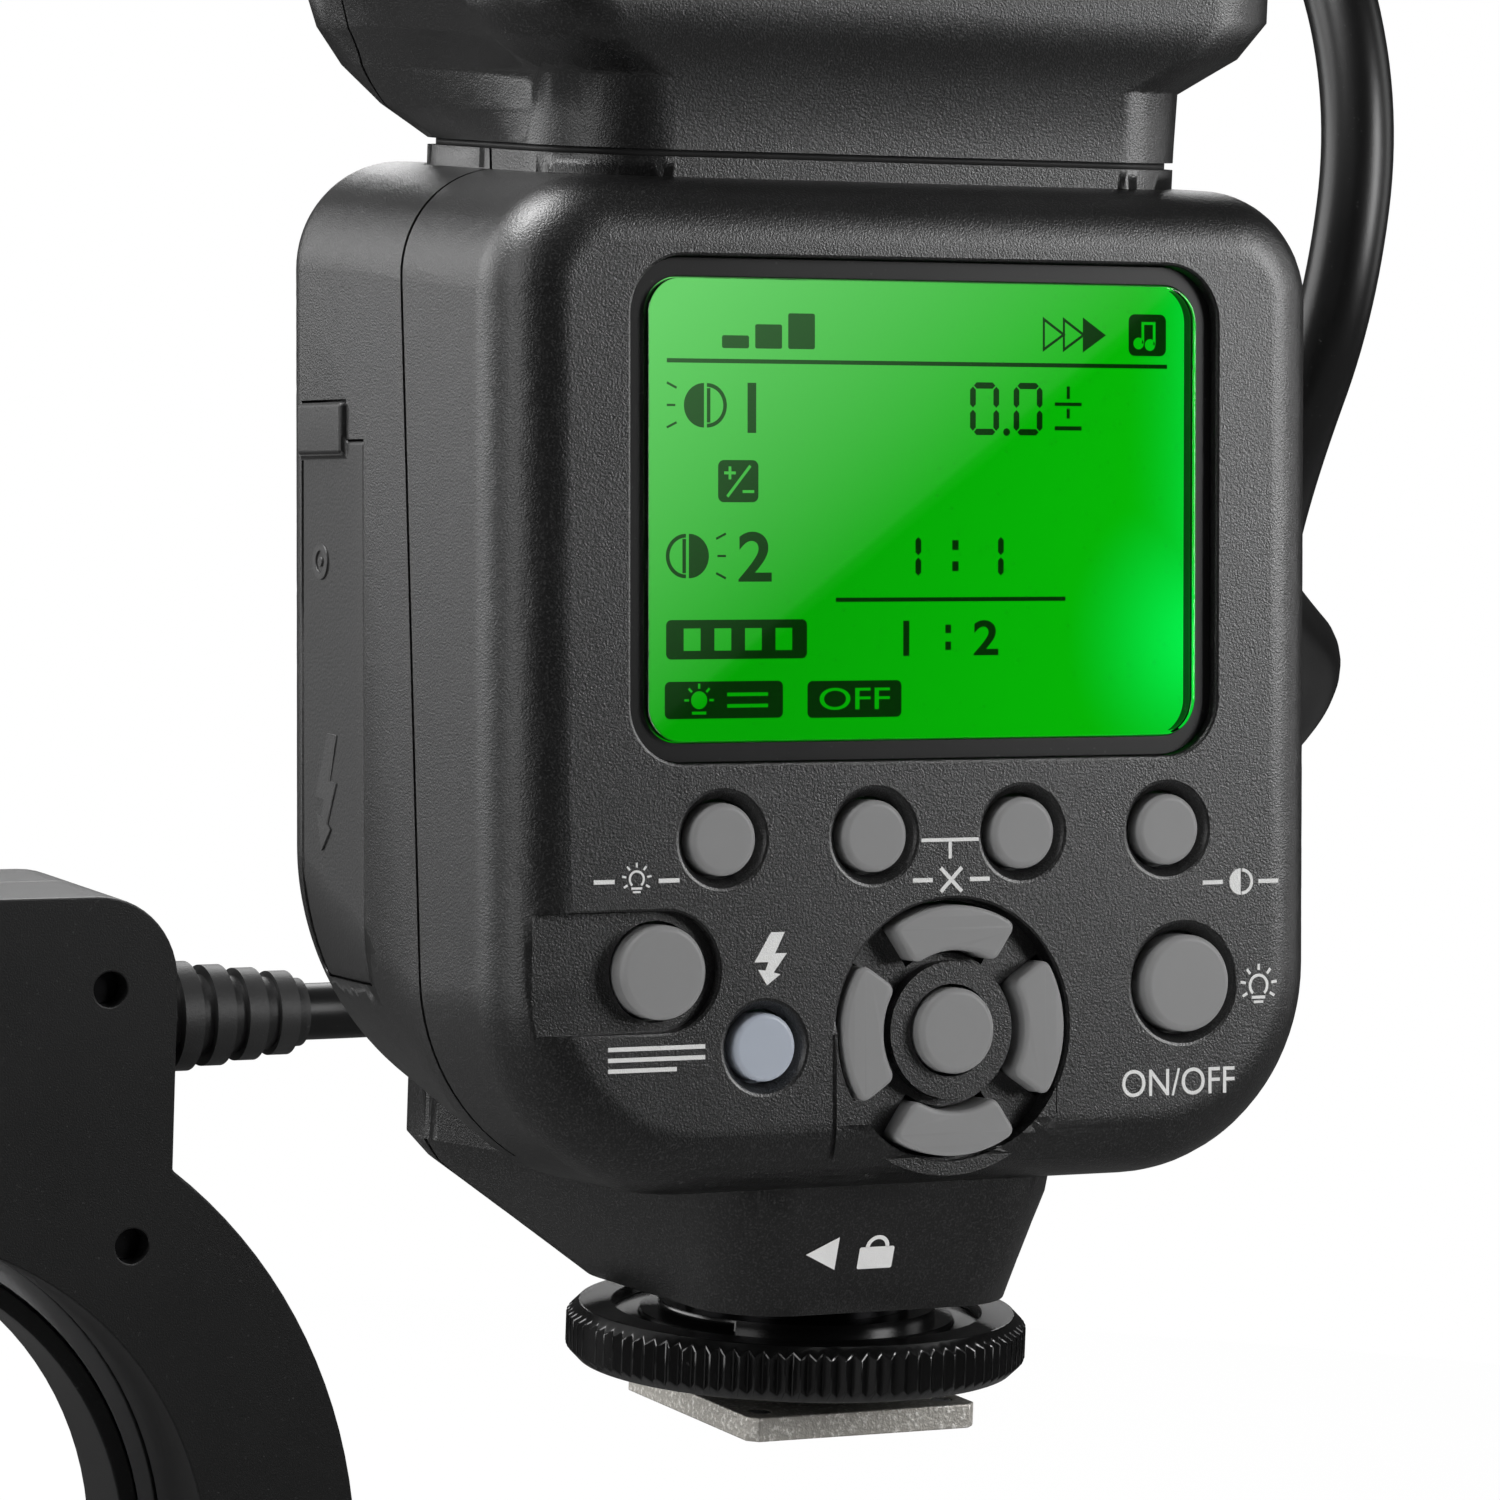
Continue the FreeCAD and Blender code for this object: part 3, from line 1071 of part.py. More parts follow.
def cord_tube(points, radius):
    """Straight runs joined by arcs that touch them, swept with a round section."""
    edges = []
    last = points[0]
    for index in range(1, len(points) - 1):
        before = points[index] - points[index - 1]
        after = points[index + 1] - points[index]
        turn = before.getAngle(after)
        reach = 0.45 * min(before.Length, after.Length)
        bend = reach / math.tan(turn / 2)
        print("cord bend %d: radius %.1f mm, turn %.0f degrees" % (index, bend, math.degrees(turn)))
        start = points[index] - before * (reach / before.Length)
        end = points[index] + after * (reach / after.Length)
        inward = (start + end) * 0.5 - points[index]
        middle = points[index] + inward * ((bend / math.cos(turn / 2) - bend) / inward.Length)
        edges.append(Part.LineSegment(last, start).toShape())
        edges.append(Part.Arc(start, middle, end).toShape())
        last = end
    edges.append(Part.LineSegment(last, points[-1]).toShape())
    path = Part.Wire(edges)
    section = Part.Wire(Part.Circle(points[0], points[1] - points[0], radius).toShape())
    tube = path.makePipeShell([section], True, False)
    print("cord length %.1f mm, volume %.1f, section times length %.1f"
          % (path.Length, tube.Volume, math.pi * radius ** 2 * path.Length))
    return tube


cord = doc.addObject("Part::Feature", "cord")
cord.Shape = cord_tube(route, size("cord_radius"))
cord.Label = "cord"
finished["cord"] = cord

doc.recompute()
faults = [item.Name for item in doc.Objects if "Invalid" in item.State or "Error" in item.State]
faults += [label for label, item in finished.items() if item.Shape.isNull() or not item.Shape.isValid()]
if faults:
    raise RuntimeError("not built: " + ", ".join(faults))
os.makedirs("parts", exist_ok=True)
for label, item in finished.items():
    item.Shape.exportStep("parts/%s.step" % label)
print("%d nodes written" % len(finished))
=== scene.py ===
import math
import bpy
from mathutils import Matrix, Vector
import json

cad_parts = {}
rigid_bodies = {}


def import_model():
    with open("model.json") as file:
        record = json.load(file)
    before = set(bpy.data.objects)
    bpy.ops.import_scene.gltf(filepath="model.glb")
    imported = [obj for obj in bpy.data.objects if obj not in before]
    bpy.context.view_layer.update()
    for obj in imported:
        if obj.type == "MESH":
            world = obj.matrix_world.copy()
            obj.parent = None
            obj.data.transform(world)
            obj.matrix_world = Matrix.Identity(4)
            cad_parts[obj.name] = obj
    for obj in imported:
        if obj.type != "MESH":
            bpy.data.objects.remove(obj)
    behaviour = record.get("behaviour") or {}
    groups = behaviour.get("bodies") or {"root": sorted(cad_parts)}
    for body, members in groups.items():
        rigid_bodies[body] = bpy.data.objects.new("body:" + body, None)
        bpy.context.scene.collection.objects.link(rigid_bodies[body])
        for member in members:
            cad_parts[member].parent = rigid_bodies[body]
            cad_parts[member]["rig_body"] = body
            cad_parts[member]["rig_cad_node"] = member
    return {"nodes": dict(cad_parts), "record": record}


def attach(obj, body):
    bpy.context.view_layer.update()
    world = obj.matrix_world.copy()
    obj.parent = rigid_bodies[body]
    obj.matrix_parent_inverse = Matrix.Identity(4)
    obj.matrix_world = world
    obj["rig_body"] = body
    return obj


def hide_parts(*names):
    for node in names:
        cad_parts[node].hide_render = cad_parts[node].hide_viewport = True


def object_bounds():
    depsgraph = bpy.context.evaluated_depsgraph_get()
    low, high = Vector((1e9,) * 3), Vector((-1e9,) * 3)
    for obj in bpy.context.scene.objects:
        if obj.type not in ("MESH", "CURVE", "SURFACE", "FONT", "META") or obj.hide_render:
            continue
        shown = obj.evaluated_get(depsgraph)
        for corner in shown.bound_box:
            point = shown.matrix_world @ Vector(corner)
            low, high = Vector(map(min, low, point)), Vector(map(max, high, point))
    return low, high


# The looks of the macro flash: its leaning control unit, the cord and the ring head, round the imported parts.
# Sizes are written in millimetres and made metres by MM. Marks on the unit are drawn upright, with heights
# from the top of the shoe foot, and then leaned with the unit.

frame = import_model()
cad_low, cad_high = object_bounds()
for node in frame["nodes"].values():
    node.select_set(False)

MM = 0.001

# The shoe foot's thickness, the unit's lean, and how far the panel's face is behind the unit's middle
FOOT_THICK = 1.8
UNIT_LEAN = math.radians(4.4)
PANEL_BACK = 20.8


def shifted(x, y, z):
    """A move in millimetres."""
    return Matrix.Translation((x * MM, y * MM, z * MM))


UPRIGHT = shifted(0, 0, FOOT_THICK)
LEANING = UPRIGHT @ Matrix.Rotation(-UNIT_LEAN, 4, "X")

# Camera, as the photograph was taken
CAMERA_PLACE = (-227.7, -430.9, 98.1)
CAMERA_TURN = math.radians(27.28)
CAMERA_DIP = math.radians(5.83)
CAMERA_ROLL = math.radians(2.06)
CAMERA_LENS = 161.3

# The cord: its radius, its free length in metres, and its points between the two strain reliefs
CORD_RADIUS = 3.0
CORD_ROUTE = [
    (20.9, 49.45, 110.34),
    (20.9, 64.45, 110.34),
    (23.5, 79.5, 110.5),
    (34.5, 91.0, 116.5),
    (49.5, 93.0, 124.0),
    (62.5, 83.0, 127.0),
    (69.0, 66.0, 124.0),
    (71.0, 50.0, 112.0),
    (70.5, 41.0, 96.5),
    (68.0, 39.5, 80.0),
    (67.0, 46.0, 66.0),
    (73.5, 60.0, 55.5),
    (86.0, 77.0, 51.5),
    (101.0, 92.5, 45.0),
    (109.0, 116.0, 34.0),
    (108.0, 143.0, 22.0),
    (102.0, 169.0, 11.0),
    (91.0, 194.0, 2.0),
    (71.05, 215.5, -3.2),
    (53.05, 215.5, -3.2),
]


# Shader node groups that several finishes share

def new_group(name, inputs, outputs):
    """An empty shader group with named sockets."""
    group = bpy.data.node_groups.new(name, "ShaderNodeTree")
    for label, kind, value in inputs:
        socket = group.interface.new_socket(label, in_out="INPUT", socket_type=kind)
        socket.default_value = value
    for label, kind in outputs:
        group.interface.new_socket(label, in_out="OUTPUT", socket_type=kind)
    return group, group.nodes.new("NodeGroupInput"), group.nodes.new("NodeGroupOutput")


def wire(tree, start, end):
    """Join an output socket to an input socket."""
    tree.links.new(start, end)


def maths(tree, kind, first, second):
    """A Math node on two sockets or numbers."""
    node = tree.nodes.new("ShaderNodeMath")
    node.operation = kind
    for socket, value in zip(node.inputs, (first, second)):
        if isinstance(value, (int, float)):
            socket.default_value = value
        else:
            wire(tree, value, socket)
    return node.outputs[0]


def set_inputs(node, values):
    """Set a node's own input sockets by their names."""
    for label, value in values.items():
        node.inputs[label].default_value = value


def ranged(tree, value, low, high):
    """A value carried from a range to the one from 0 to 1, and held at its ends."""
    node = tree.nodes.new("ShaderNodeMapRange")
    set_inputs(node, {"From Min": low, "From Max": high})
    wire(tree, value, node.inputs["Value"])
    return node.outputs["Result"]


def noise(tree, where, scale, detail, rough):
    """A noise field over object coordinates."""
    node = tree.nodes.new("ShaderNodeTexNoise")
    set_inputs(node, {"Detail": detail, "Roughness": rough})
    if isinstance(scale, (int, float)):
        node.inputs["Scale"].default_value = scale
    else:
        wire(tree, scale, node.inputs["Scale"])
    wire(tree, where, node.inputs["Vector"])
    return node.outputs[0]


def mixed(tree, share, first, second):
    """A colour between two colours."""
    node = tree.nodes.new("ShaderNodeMix")
    node.data_type = "RGBA"
    wire(tree, share, node.inputs[0])
    for socket, value in ((node.inputs[6], first), (node.inputs[7], second)):
        if isinstance(value, tuple):
            socket.default_value = (*value, 1.0)
        else:
            wire(tree, value, socket)
    return node.outputs[2]


def new_material(name):
    """A material with its node tree and its Principled shader."""
    material = bpy.data.materials.new(name)
    material.use_nodes = True
    tree = material.node_tree
    return material, tree, tree.nodes["Principled BSDF"]


def group_node(tree, group):
    """A node that holds a shared shader group."""
    node = tree.nodes.new("ShaderNodeGroup")
    node.node_tree = group
    return node


def spark_grain_and_glints_group():
    """The pebbled skin of a spark-eroded mould: a normal, and a mask of its high points, where glints are
    painted.
    """
    group, start, end = new_group(
        "spark_grain_and_glints",
        [("Scale", "NodeSocketFloat", 4000.0), ("Depth", "NodeSocketFloat", 0.3)],
        [("Normal", "NodeSocketVector"), ("Painted Glints", "NodeSocketFloat")],
    )
    where = group.nodes.new("ShaderNodeTexCoord").outputs["Object"]
    height = noise(group, where, start.outputs["Scale"], 2.0, 0.6)
    bump = group.nodes.new("ShaderNodeBump")
    bump.inputs["Distance"].default_value = 0.00008
    wire(group, start.outputs["Depth"], bump.inputs["Strength"])
    wire(group, height, bump.inputs["Height"])
    wire(group, bump.outputs["Normal"], end.inputs["Normal"])
    wire(group, ranged(group, height, 0.52, 0.68), end.inputs["Painted Glints"])
    return group


def wear_group():
    """A colour and roughness that drift a little, with dust specks and lighter edges."""
    shares = [(label, "NodeSocketFloat", share)
              for label, share in (("Roughness", 0.5), ("Drift", 0.12), ("Edge", 0.2), ("Specks", 0.1))]
    group, start, end = new_group(
        "drift_and_wear",
        [("Color", "NodeSocketColor", (0.02, 0.02, 0.02, 1.0))] + shares,
        [("Color", "NodeSocketColor"), ("Roughness", "NodeSocketFloat")],
    )
    where = group.nodes.new("ShaderNodeTexCoord").outputs["Object"]
    cloud = noise(group, where, 60.0, 4.0, 0.6)
    shift = maths(group, "MULTIPLY", maths(group, "SUBTRACT", cloud, 0.5), start.outputs["Drift"])
    pointy = group.nodes.new("ShaderNodeNewGeometry").outputs["Pointiness"]
    edge = ranged(group, pointy, 0.53, 0.62)
    rub = maths(group, "MULTIPLY", maths(group, "MULTIPLY", edge, cloud), start.outputs["Edge"])
    speck = ranged(group, noise(group, where, 2600.0, 1.0, 0.5), 0.72, 0.8)
    dust = maths(group, "MULTIPLY", speck, start.outputs["Specks"])
    light = mixed(group, maths(group, "ADD", rub, dust), start.outputs["Color"], (0.5, 0.5, 0.5))
    value = group.nodes.new("ShaderNodeHueSaturation")
    wire(group, light, value.inputs["Color"])
    wire(group, maths(group, "ADD", maths(group, "MULTIPLY", shift, 2.0), 1.0), value.inputs["Value"])
    wire(group, value.outputs["Color"], end.inputs["Color"])
    rough = maths(group, "ADD", start.outputs["Roughness"], shift)
    wire(group, maths(group, "SUBTRACT", rough, maths(group, "MULTIPLY", rub, 0.4)), end.inputs["Roughness"])
    return group


SPARK_GRAIN_AND_GLINTS = spark_grain_and_glints_group()
DRIFT_AND_WEAR = wear_group()


def finish(name, color, roughness, specular=0.5, metallic=0.0, grain=None, drift=0.12, edge=0.2, specks=0.05,
           coat=0.0, painted_glint=0.0):
    """A material with drifting colour, worn edges and, where grain is (scale, depth), a moulded skin with
    painted glints.
    """
    material, tree, shader = new_material(name)
    set_inputs(shader, {"Metallic": metallic, "Specular IOR Level": specular, "Coat Weight": coat,
                        "Coat Roughness": 0.08})
    drifting = group_node(tree, DRIFT_AND_WEAR)
    set_inputs(drifting, {"Color": (*color, 1.0), "Roughness": roughness, "Drift": drift, "Edge": edge,
                          "Specks": specks})
    painted = drifting.outputs["Color"]
    if grain:
        skin = group_node(tree, SPARK_GRAIN_AND_GLINTS)
        set_inputs(skin, {"Scale": grain[0], "Depth": grain[1]})
        wire(tree, skin.outputs["Normal"], shader.inputs["Normal"])
        # Painted glints: the grain's high points get a lighter colour that stands in for light catching them
        if painted_glint:
            bright = tuple(min(1.0, value + painted_glint) for value in color)
            painted = mixed(tree, skin.outputs["Painted Glints"], painted, bright)
    wire(tree, painted, shader.inputs["Base Color"])
    wire(tree, drifting.outputs["Roughness"], shader.inputs["Roughness"])
    return material


DEEP_BLACK = (0.003, 0.003, 0.0031)
# The housing, ring and nickel skins carry painted glints on the high points of their grain
HOUSING = finish("housing_skin", DEEP_BLACK, 0.35, 1.0, grain=(6600, 0.5), edge=0.0, painted_glint=0.026)
RING_SKIN = finish("ring_skin", DEEP_BLACK, 0.4, 0.5, grain=(5600, 0.3), edge=0.0, painted_glint=0.004)
KEY_RUBBER = finish("key_rubber", (0.25, 0.25, 0.251), 0.5, 0.5, edge=0.0, specks=0.02, drift=0.04)
TEST_CAP = finish("test_cap", (0.42, 0.46, 0.53), 0.35, 0.6, edge=0.0, specks=0.0, drift=0.05)
GLOSS_BLACK = finish("gloss_black", DEEP_BLACK, 0.22, 0.9, drift=0.05, edge=0.0)
DARK_METAL = finish("dark_metal", (0.02, 0.02, 0.021), 0.3, 0.5, metallic=1.0, drift=0.05, edge=0.0)
BEZEL_BLACK = finish("bezel_black", DEEP_BLACK, 0.36, 0.5, drift=0.05, edge=0.0)
INNER_BLACK = finish("inner_black", (0.01, 0.01, 0.0102), 0.5, 0.3, grain=(3000, 0.1))
SOFT_RUBBER = finish("soft_rubber", (0.009, 0.009, 0.0092), 0.5, 0.7, grain=(4600, 0.3), edge=0.06)
CORD_JACKET = finish("cord_jacket", DEEP_BLACK, 0.34, 0.6, grain=(2600, 0.08), edge=0.0)
NICKEL = finish("nickel_plate", (0.60, 0.575, 0.53), 0.5, metallic=0.8, grain=(2600, 1.0), drift=0.3,
                edge=0.0, painted_glint=0.4)
STEEL = finish("bright_steel", (0.55, 0.55, 0.56), 0.28, metallic=1.0, grain=(1500, 0.1))
GOLD = finish("gold_plate", (0.83, 0.62, 0.24), 0.2, metallic=1.0)
BOARD = finish("solder_mask", (0.015, 0.11, 0.045), 0.35, 0.5, drift=0.3)
CELL = finish("cell_sleeve", (0.12, 0.13, 0.15), 0.3, 0.5, coat=0.3)
FOIL = finish("reflector_foil", (0.86, 0.86, 0.87), 0.18, metallic=1.0, grain=(900, 0.1))
FROST = finish("frosted_window", (0.78, 0.79, 0.77), 0.4, 0.5, grain=(1800, 0.15), edge=0.0)
GUIDE = finish("light_guide", (0.8, 0.83, 0.8), 0.3, 0.5, edge=0.0)
WHITE_INK = finish("white_ink", (0.78, 0.78, 0.77), 0.55, 0.3, grain=(9000, 0.2), edge=0.0, drift=0.15)


# The display's light, in millimetres: its deep green turns lighter from left to right, its pale part is a
# painted reflection of the window whose slanted edge passes through one point and rises to the right, and a
# lamp and its glow sit behind its right edge
DEEP_LEFT, DEEP_RIGHT = -12, 20
REFLECTION_EDGE_X, REFLECTION_EDGE_Z = 14.8, 78.2
REFLECTION_TURN_X, REFLECTION_TURN_Z = 0.5945, 0.804
REFLECTION_REACH = 23
LAMP_SPOT = (24.0 * MM, -16.0 * MM, 58.0 * MM)
LAMP_REACH, LAMP_CORE = 12, 1.5
GLOW_LEFT, GLOW_RIGHT = 17, 22.3


def display_light_group():
    """The green of the lit display: paler towards its upper left by a painted reflection, and hottest at the
    lamp on its right.
    """
    group, _, end = new_group(
        "display_light", [], [("Color", "NodeSocketColor"), ("Ink", "NodeSocketColor")])
    where = group.nodes.new("ShaderNodeTexCoord").outputs["Object"]
    split = group.nodes.new("ShaderNodeSeparateXYZ")
    wire(group, where, split.inputs[0])
    across = ranged(group, split.outputs["X"], DEEP_LEFT * MM, DEEP_RIGHT * MM)
    # The pale part and its slanted edge are a painted reflection of the window laid over the green
    slant = maths(group, "SUBTRACT", maths(group, "MULTIPLY", split.outputs["Z"], REFLECTION_TURN_Z),
                  maths(group, "MULTIPLY", split.outputs["X"], REFLECTION_TURN_X))
    reflection_edge_at = (REFLECTION_EDGE_Z * REFLECTION_TURN_Z - REFLECTION_EDGE_X * REFLECTION_TURN_X) * MM
    reflection_ramp = ranged(group, slant, reflection_edge_at - 1 * MM, reflection_edge_at + REFLECTION_REACH * MM)
    step = ranged(group, slant, reflection_edge_at - 0.2 * MM, reflection_edge_at + 0.2 * MM)
    pale = maths(group, "ADD", maths(group, "MULTIPLY", reflection_ramp, 0.95), maths(group, "MULTIPLY", step, 0.05))
    deep = mixed(group, across, (0.0, 0.37, 0.0), (0.0, 0.50, 0.0))
    # The painted reflection lightens the green towards the upper left
    green = mixed(group, pale, deep, (0.16, 0.66, 0.16))
    away = group.nodes.new("ShaderNodeVectorMath")
    away.operation = "DISTANCE"
    wire(group, where, away.inputs[0])
    away.inputs[1].default_value = LAMP_SPOT
    lamp_share = ranged(group, away.outputs["Value"], LAMP_REACH * MM, LAMP_CORE * MM)
    near = maths(group, "POWER", lamp_share, 1.6)
    side_share = ranged(group, split.outputs["X"], GLOW_LEFT * MM, GLOW_RIGHT * MM)
    side = maths(group, "POWER", side_share, 2.0)
    hot = maths(group, "MAXIMUM", near, maths(group, "MULTIPLY", side, 0.35))
    wire(group, mixed(group, hot, green, (0.0, 1.0, 0.09)), end.inputs["Color"])
    # The dark segments turn paler under the same painted reflection
    wire(group, mixed(group, pale, (0.0, 0.022, 0.0), (0.05, 0.14, 0.05)), end.inputs["Ink"])
    return group


DISPLAY_LIGHT = display_light_group()


def glowing(name, output, color, roughness):
    """A part of the display: its lit glass, or a dark segment with some green behind it."""
    material, tree, shader = new_material(name)
    glow = group_node(tree, DISPLAY_LIGHT)
    set_inputs(shader, {"Base Color": (*color, 1.0), "Roughness": roughness, "Specular IOR Level": 0.0,
                        "Emission Strength": 1.0})
    wire(tree, glow.outputs[output], shader.inputs["Emission Color"])
    return material


LIT_DISPLAY = glowing("lit_display", "Color", (0.0, 0.01, 0.0), 0.5)
DISPLAY_INK = glowing("display_ink", "Ink", (0.0, 0.005, 0.0), 0.6)


def clear(name, color, roughness):
    """A clear plastic or glass."""
    material, _, shader = new_material(name)
    set_inputs(shader, {"Base Color": (*color, 1.0), "Roughness": roughness, "Transmission Weight": 1.0,
                        "IOR": 1.45})
    return material


CLEAR_WINDOW = clear("clear_window", (0.96, 1.0, 0.97), 0.02)
TUBE_GLASS = clear("tube_glass", (0.97, 0.98, 1.0), 0.05)

SLOT_FINISHES = {
    "housing": HOUSING, "key_rubber": KEY_RUBBER, "test_cap": TEST_CAP, "bezel_gloss": BEZEL_BLACK,
    "clear_window": CLEAR_WINDOW, "display": LIT_DISPLAY, "light_guide": GUIDE, "circuit_board": BOARD,
    "inner_plastic": INNER_BLACK, "cell_jacket": CELL, "spring_steel": STEEL, "capacitor_sleeve": GLOSS_BLACK,
    "cover_rubber": SOFT_RUBBER, "socket_plastic": INNER_BLACK, "foot_nickel": NICKEL, "screw_steel": STEEL,
    "contact_gold": GOLD, "wheel_gloss": GLOSS_BLACK, "collar_black": GLOSS_BLACK, "lamp_lens": TUBE_GLASS,
    "diffuser": FROST, "reflector_metal": FOIL, "tube_glass": TUBE_GLASS, "cord_jacket": CORD_JACKET,
    "relief_rubber": SOFT_RUBBER,
}
SLOT_OF = {row["node"]: row["material_slot"] for row in frame["record"]["subparts"]}
BODY_OF = {node: body for body, nodes in frame["record"]["behaviour"]["bodies"].items() for node in nodes}


def set_finish(piece, material):
    """Give a piece one material."""
    piece.data.materials.clear()
    piece.data.materials.append(material)


for label, node in frame["nodes"].items():
    # The ring screws' dark metal is a black-oxide finish that also paints the shade of their deep holes; the
    # foot post is dark metal too
    if label.startswith("ring_screw") or label == "foot_post":
        set_finish(node, DARK_METAL)
    elif label in ("ring_rear_shell", "ring_front_shell"):
        set_finish(node, RING_SKIN)
    else:
        set_finish(node, SLOT_FINISHES[SLOT_OF[label]])


# Helpers that model a piece with Blender's own tools

def activate(piece):
    """Make one piece the only selected and active one."""
    bpy.ops.object.select_all(action="DESELECT")
    piece.select_set(True)
    bpy.context.view_layer.objects.active = piece


def apply_modifier(piece, kind, **values):
    """Add a modifier and apply it."""
    activate(piece)
    modifier = piece.modifiers.new(kind.lower(), kind)
    for key, value in values.items():
        setattr(modifier, key, value)
    bpy.ops.object.modifier_apply(modifier=modifier.name)


# How near two points of a mesh are merged, in millimetres
MESH_MERGE = 0.002
KEY_MERGE = 0.001
MARK_MERGE = 0.0005

# The bends up to which a mesh's triangles are joined into one face, in degrees
FLAT_BEND = 0.4
FINE_BEND = 0.05


def clean_mesh(piece, flat=FLAT_BEND):
    """Merge a piece's loose triangles and join those that lie in one plane."""
    activate(piece)
    bpy.ops.object.mode_set(mode="EDIT")
    bpy.ops.mesh.select_all(action="SELECT")
    bpy.ops.mesh.remove_doubles(threshold=MESH_MERGE * MM)
    bpy.ops.mesh.dissolve_limited(angle_limit=math.radians(flat))
    bpy.ops.object.mode_set(mode="OBJECT")


def face_outward(piece, merge):
    """Merge a piece's double points and turn its faces outward."""
    activate(piece)
    bpy.ops.object.mode_set(mode="EDIT")
    bpy.ops.mesh.select_all(action="SELECT")
    bpy.ops.mesh.remove_doubles(threshold=merge * MM)
    bpy.ops.mesh.normals_make_consistent(inside=False)
    bpy.ops.object.mode_set(mode="OBJECT")


# The bends up to which faces shade as one, in degrees: the rear shell's panel and key pad need a small one
SOFT_BEND = 32
PANEL_BEND = 14
RIDGE_BEND = 25

# The bends from which edges count as sharp, in degrees
EDGE_BEND = 40
PANEL_EDGE_BEND = 50
RIDGE_EDGE_BEND = 38
RIM_EDGE_BEND = 60


def shade(piece, angle=SOFT_BEND):
    """Shade a piece smooth across its soft bends, with its flat faces kept flat."""
    activate(piece)
    bpy.ops.object.shade_smooth_by_angle(angle=math.radians(angle))
    apply_modifier(piece, "WEIGHTED_NORMAL", keep_sharp=True, weight=80)


def solid_box(name, low, high, place):
    """A plain block between two corners in millimetres, carried to its place."""
    bpy.ops.object.select_all(action="DESELECT")
    bpy.ops.mesh.primitive_cube_add(size=1.0)
    piece = bpy.context.view_layer.objects.active
    piece.name = name
    size = [(last - first) * MM for first, last in zip(low, high)]
    middle = [(last + first) / 2 for first, last in zip(low, high)]
    piece.data.transform(place @ shifted(*middle) @ Matrix.Diagonal((*size, 1.0)))
    return piece


def solid_round(name, radius, low, high, place, sides=128):
    """A plain cylinder along z between two heights in millimetres, carried to its place."""
    bpy.ops.object.select_all(action="DESELECT")
    bpy.ops.mesh.primitive_cylinder_add(vertices=sides, radius=radius * MM, depth=(high - low) * MM)
    piece = bpy.context.view_layer.objects.active
    piece.name = name
    piece.data.transform(place @ shifted(0, 0, (high + low) / 2))
    return piece


def carved(piece, tool, kind="DIFFERENCE"):
    """Cut a tool from a piece, or keep only what they share. The tool goes."""
    apply_modifier(piece, "BOOLEAN", operation=kind, object=tool, solver="EXACT")
    bpy.data.objects.remove(tool)


# The thin dark seams between the shells, each a slit that both shells give way to

SEAM_DEPTH = 7.3
SEAM_HEIGHT = 16
SEAM_TILT = 3.55
CUT_REACH = 45
HOUSING_SLIT = (-0.2, 0.2)
BLOCK_SLIT = (11.8, 12.2)
HEAD_SLIT = (17.65, 17.95)
HOUSING_SEAM = (LEANING @ shifted(0, -SEAM_DEPTH, SEAM_HEIGHT)
                @ Matrix.Rotation(math.radians(-SEAM_TILT), 4, "X"))


def slit(depths, low, high, place):
    """The corners of a block that cuts a slit between two heights, and its place."""
    return (-CUT_REACH, depths[0], low), (CUT_REACH, depths[1], high), place


BODY_SEAMS = (slit(HOUSING_SLIT, 2.3, 80, HOUSING_SEAM), slit(BLOCK_SLIT, 5, 17.2, UPRIGHT))
HEAD_SEAMS = (slit(HEAD_SLIT, 85, 135, UPRIGHT),)
SEAMS = {
    "rear_shell": BODY_SEAMS, "front_shell": BODY_SEAMS,
    "head_rear_shell": HEAD_SEAMS, "head_front_shell": HEAD_SEAMS,
}

# How much the edges in the panel's face are rounded, and how near to that face they lie
PANEL_EASE = 0.22
LEVEL_SLACK = 0.012


def eased_loops(piece, depth, width):
    """Round the sharp edges that lie in the panel's face."""
    activate(piece)
    bpy.ops.object.mode_set(mode="EDIT")
    bpy.ops.mesh.select_mode(type="EDGE")
    bpy.ops.mesh.select_all(action="DESELECT")
    bpy.ops.mesh.edges_select_sharp(sharpness=math.radians(PANEL_EDGE_BEND))
    bpy.ops.object.mode_set(mode="OBJECT")
    upright = LEANING.inverted()
    level = [abs((upright @ vertex.co).y + depth * MM) < LEVEL_SLACK * MM for vertex in piece.data.vertices]
    weights = [float(edge.select and level[edge.vertices[0]] and level[edge.vertices[1]])
               for edge in piece.data.edges]
    marked = piece.data.attributes.new("bevel_weight_edge", "FLOAT", "EDGE")
    marked.data.foreach_set("value", weights)
    apply_modifier(piece, "BEVEL", width=width * MM, segments=2, limit_method="WEIGHT",
                   use_clamp_overlap=False)


def take_over(piece, label, material=None):
    """Let a piece stand in for a CAD node and ride with its body."""
    set_finish(piece, material or frame["nodes"][label].data.materials[0])
    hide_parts(label)
    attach(piece, BODY_OF[label])
    return piece


def dressed(label, ease):
    """A CAD node's own shape, cleaned, with its sharp edges eased by a small radius in millimetres."""
    piece = frame["nodes"][label].copy()
    piece.data = piece.data.copy()
    piece.name = "dressed_" + label
    piece.parent = None
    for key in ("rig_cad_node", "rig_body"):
        if key in piece:
            del piece[key]
    bpy.context.scene.collection.objects.link(piece)
    clean_mesh(piece)
    for low, high, place in SEAMS.get(label, ()):
        carved(piece, solid_box("seam", low, high, place))
    if label in SEAMS:
        clean_mesh(piece)
    if label == "rear_shell":
        eased_loops(piece, PANEL_BACK, PANEL_EASE)
    if ease:
        apply_modifier(piece, "BEVEL", width=ease * MM, segments=2, limit_method="ANGLE",
                       angle_limit=math.radians(EDGE_BEND), use_clamp_overlap=False)
    shade(piece, PANEL_BEND if label == "rear_shell" else SOFT_BEND)
    return take_over(piece, label)


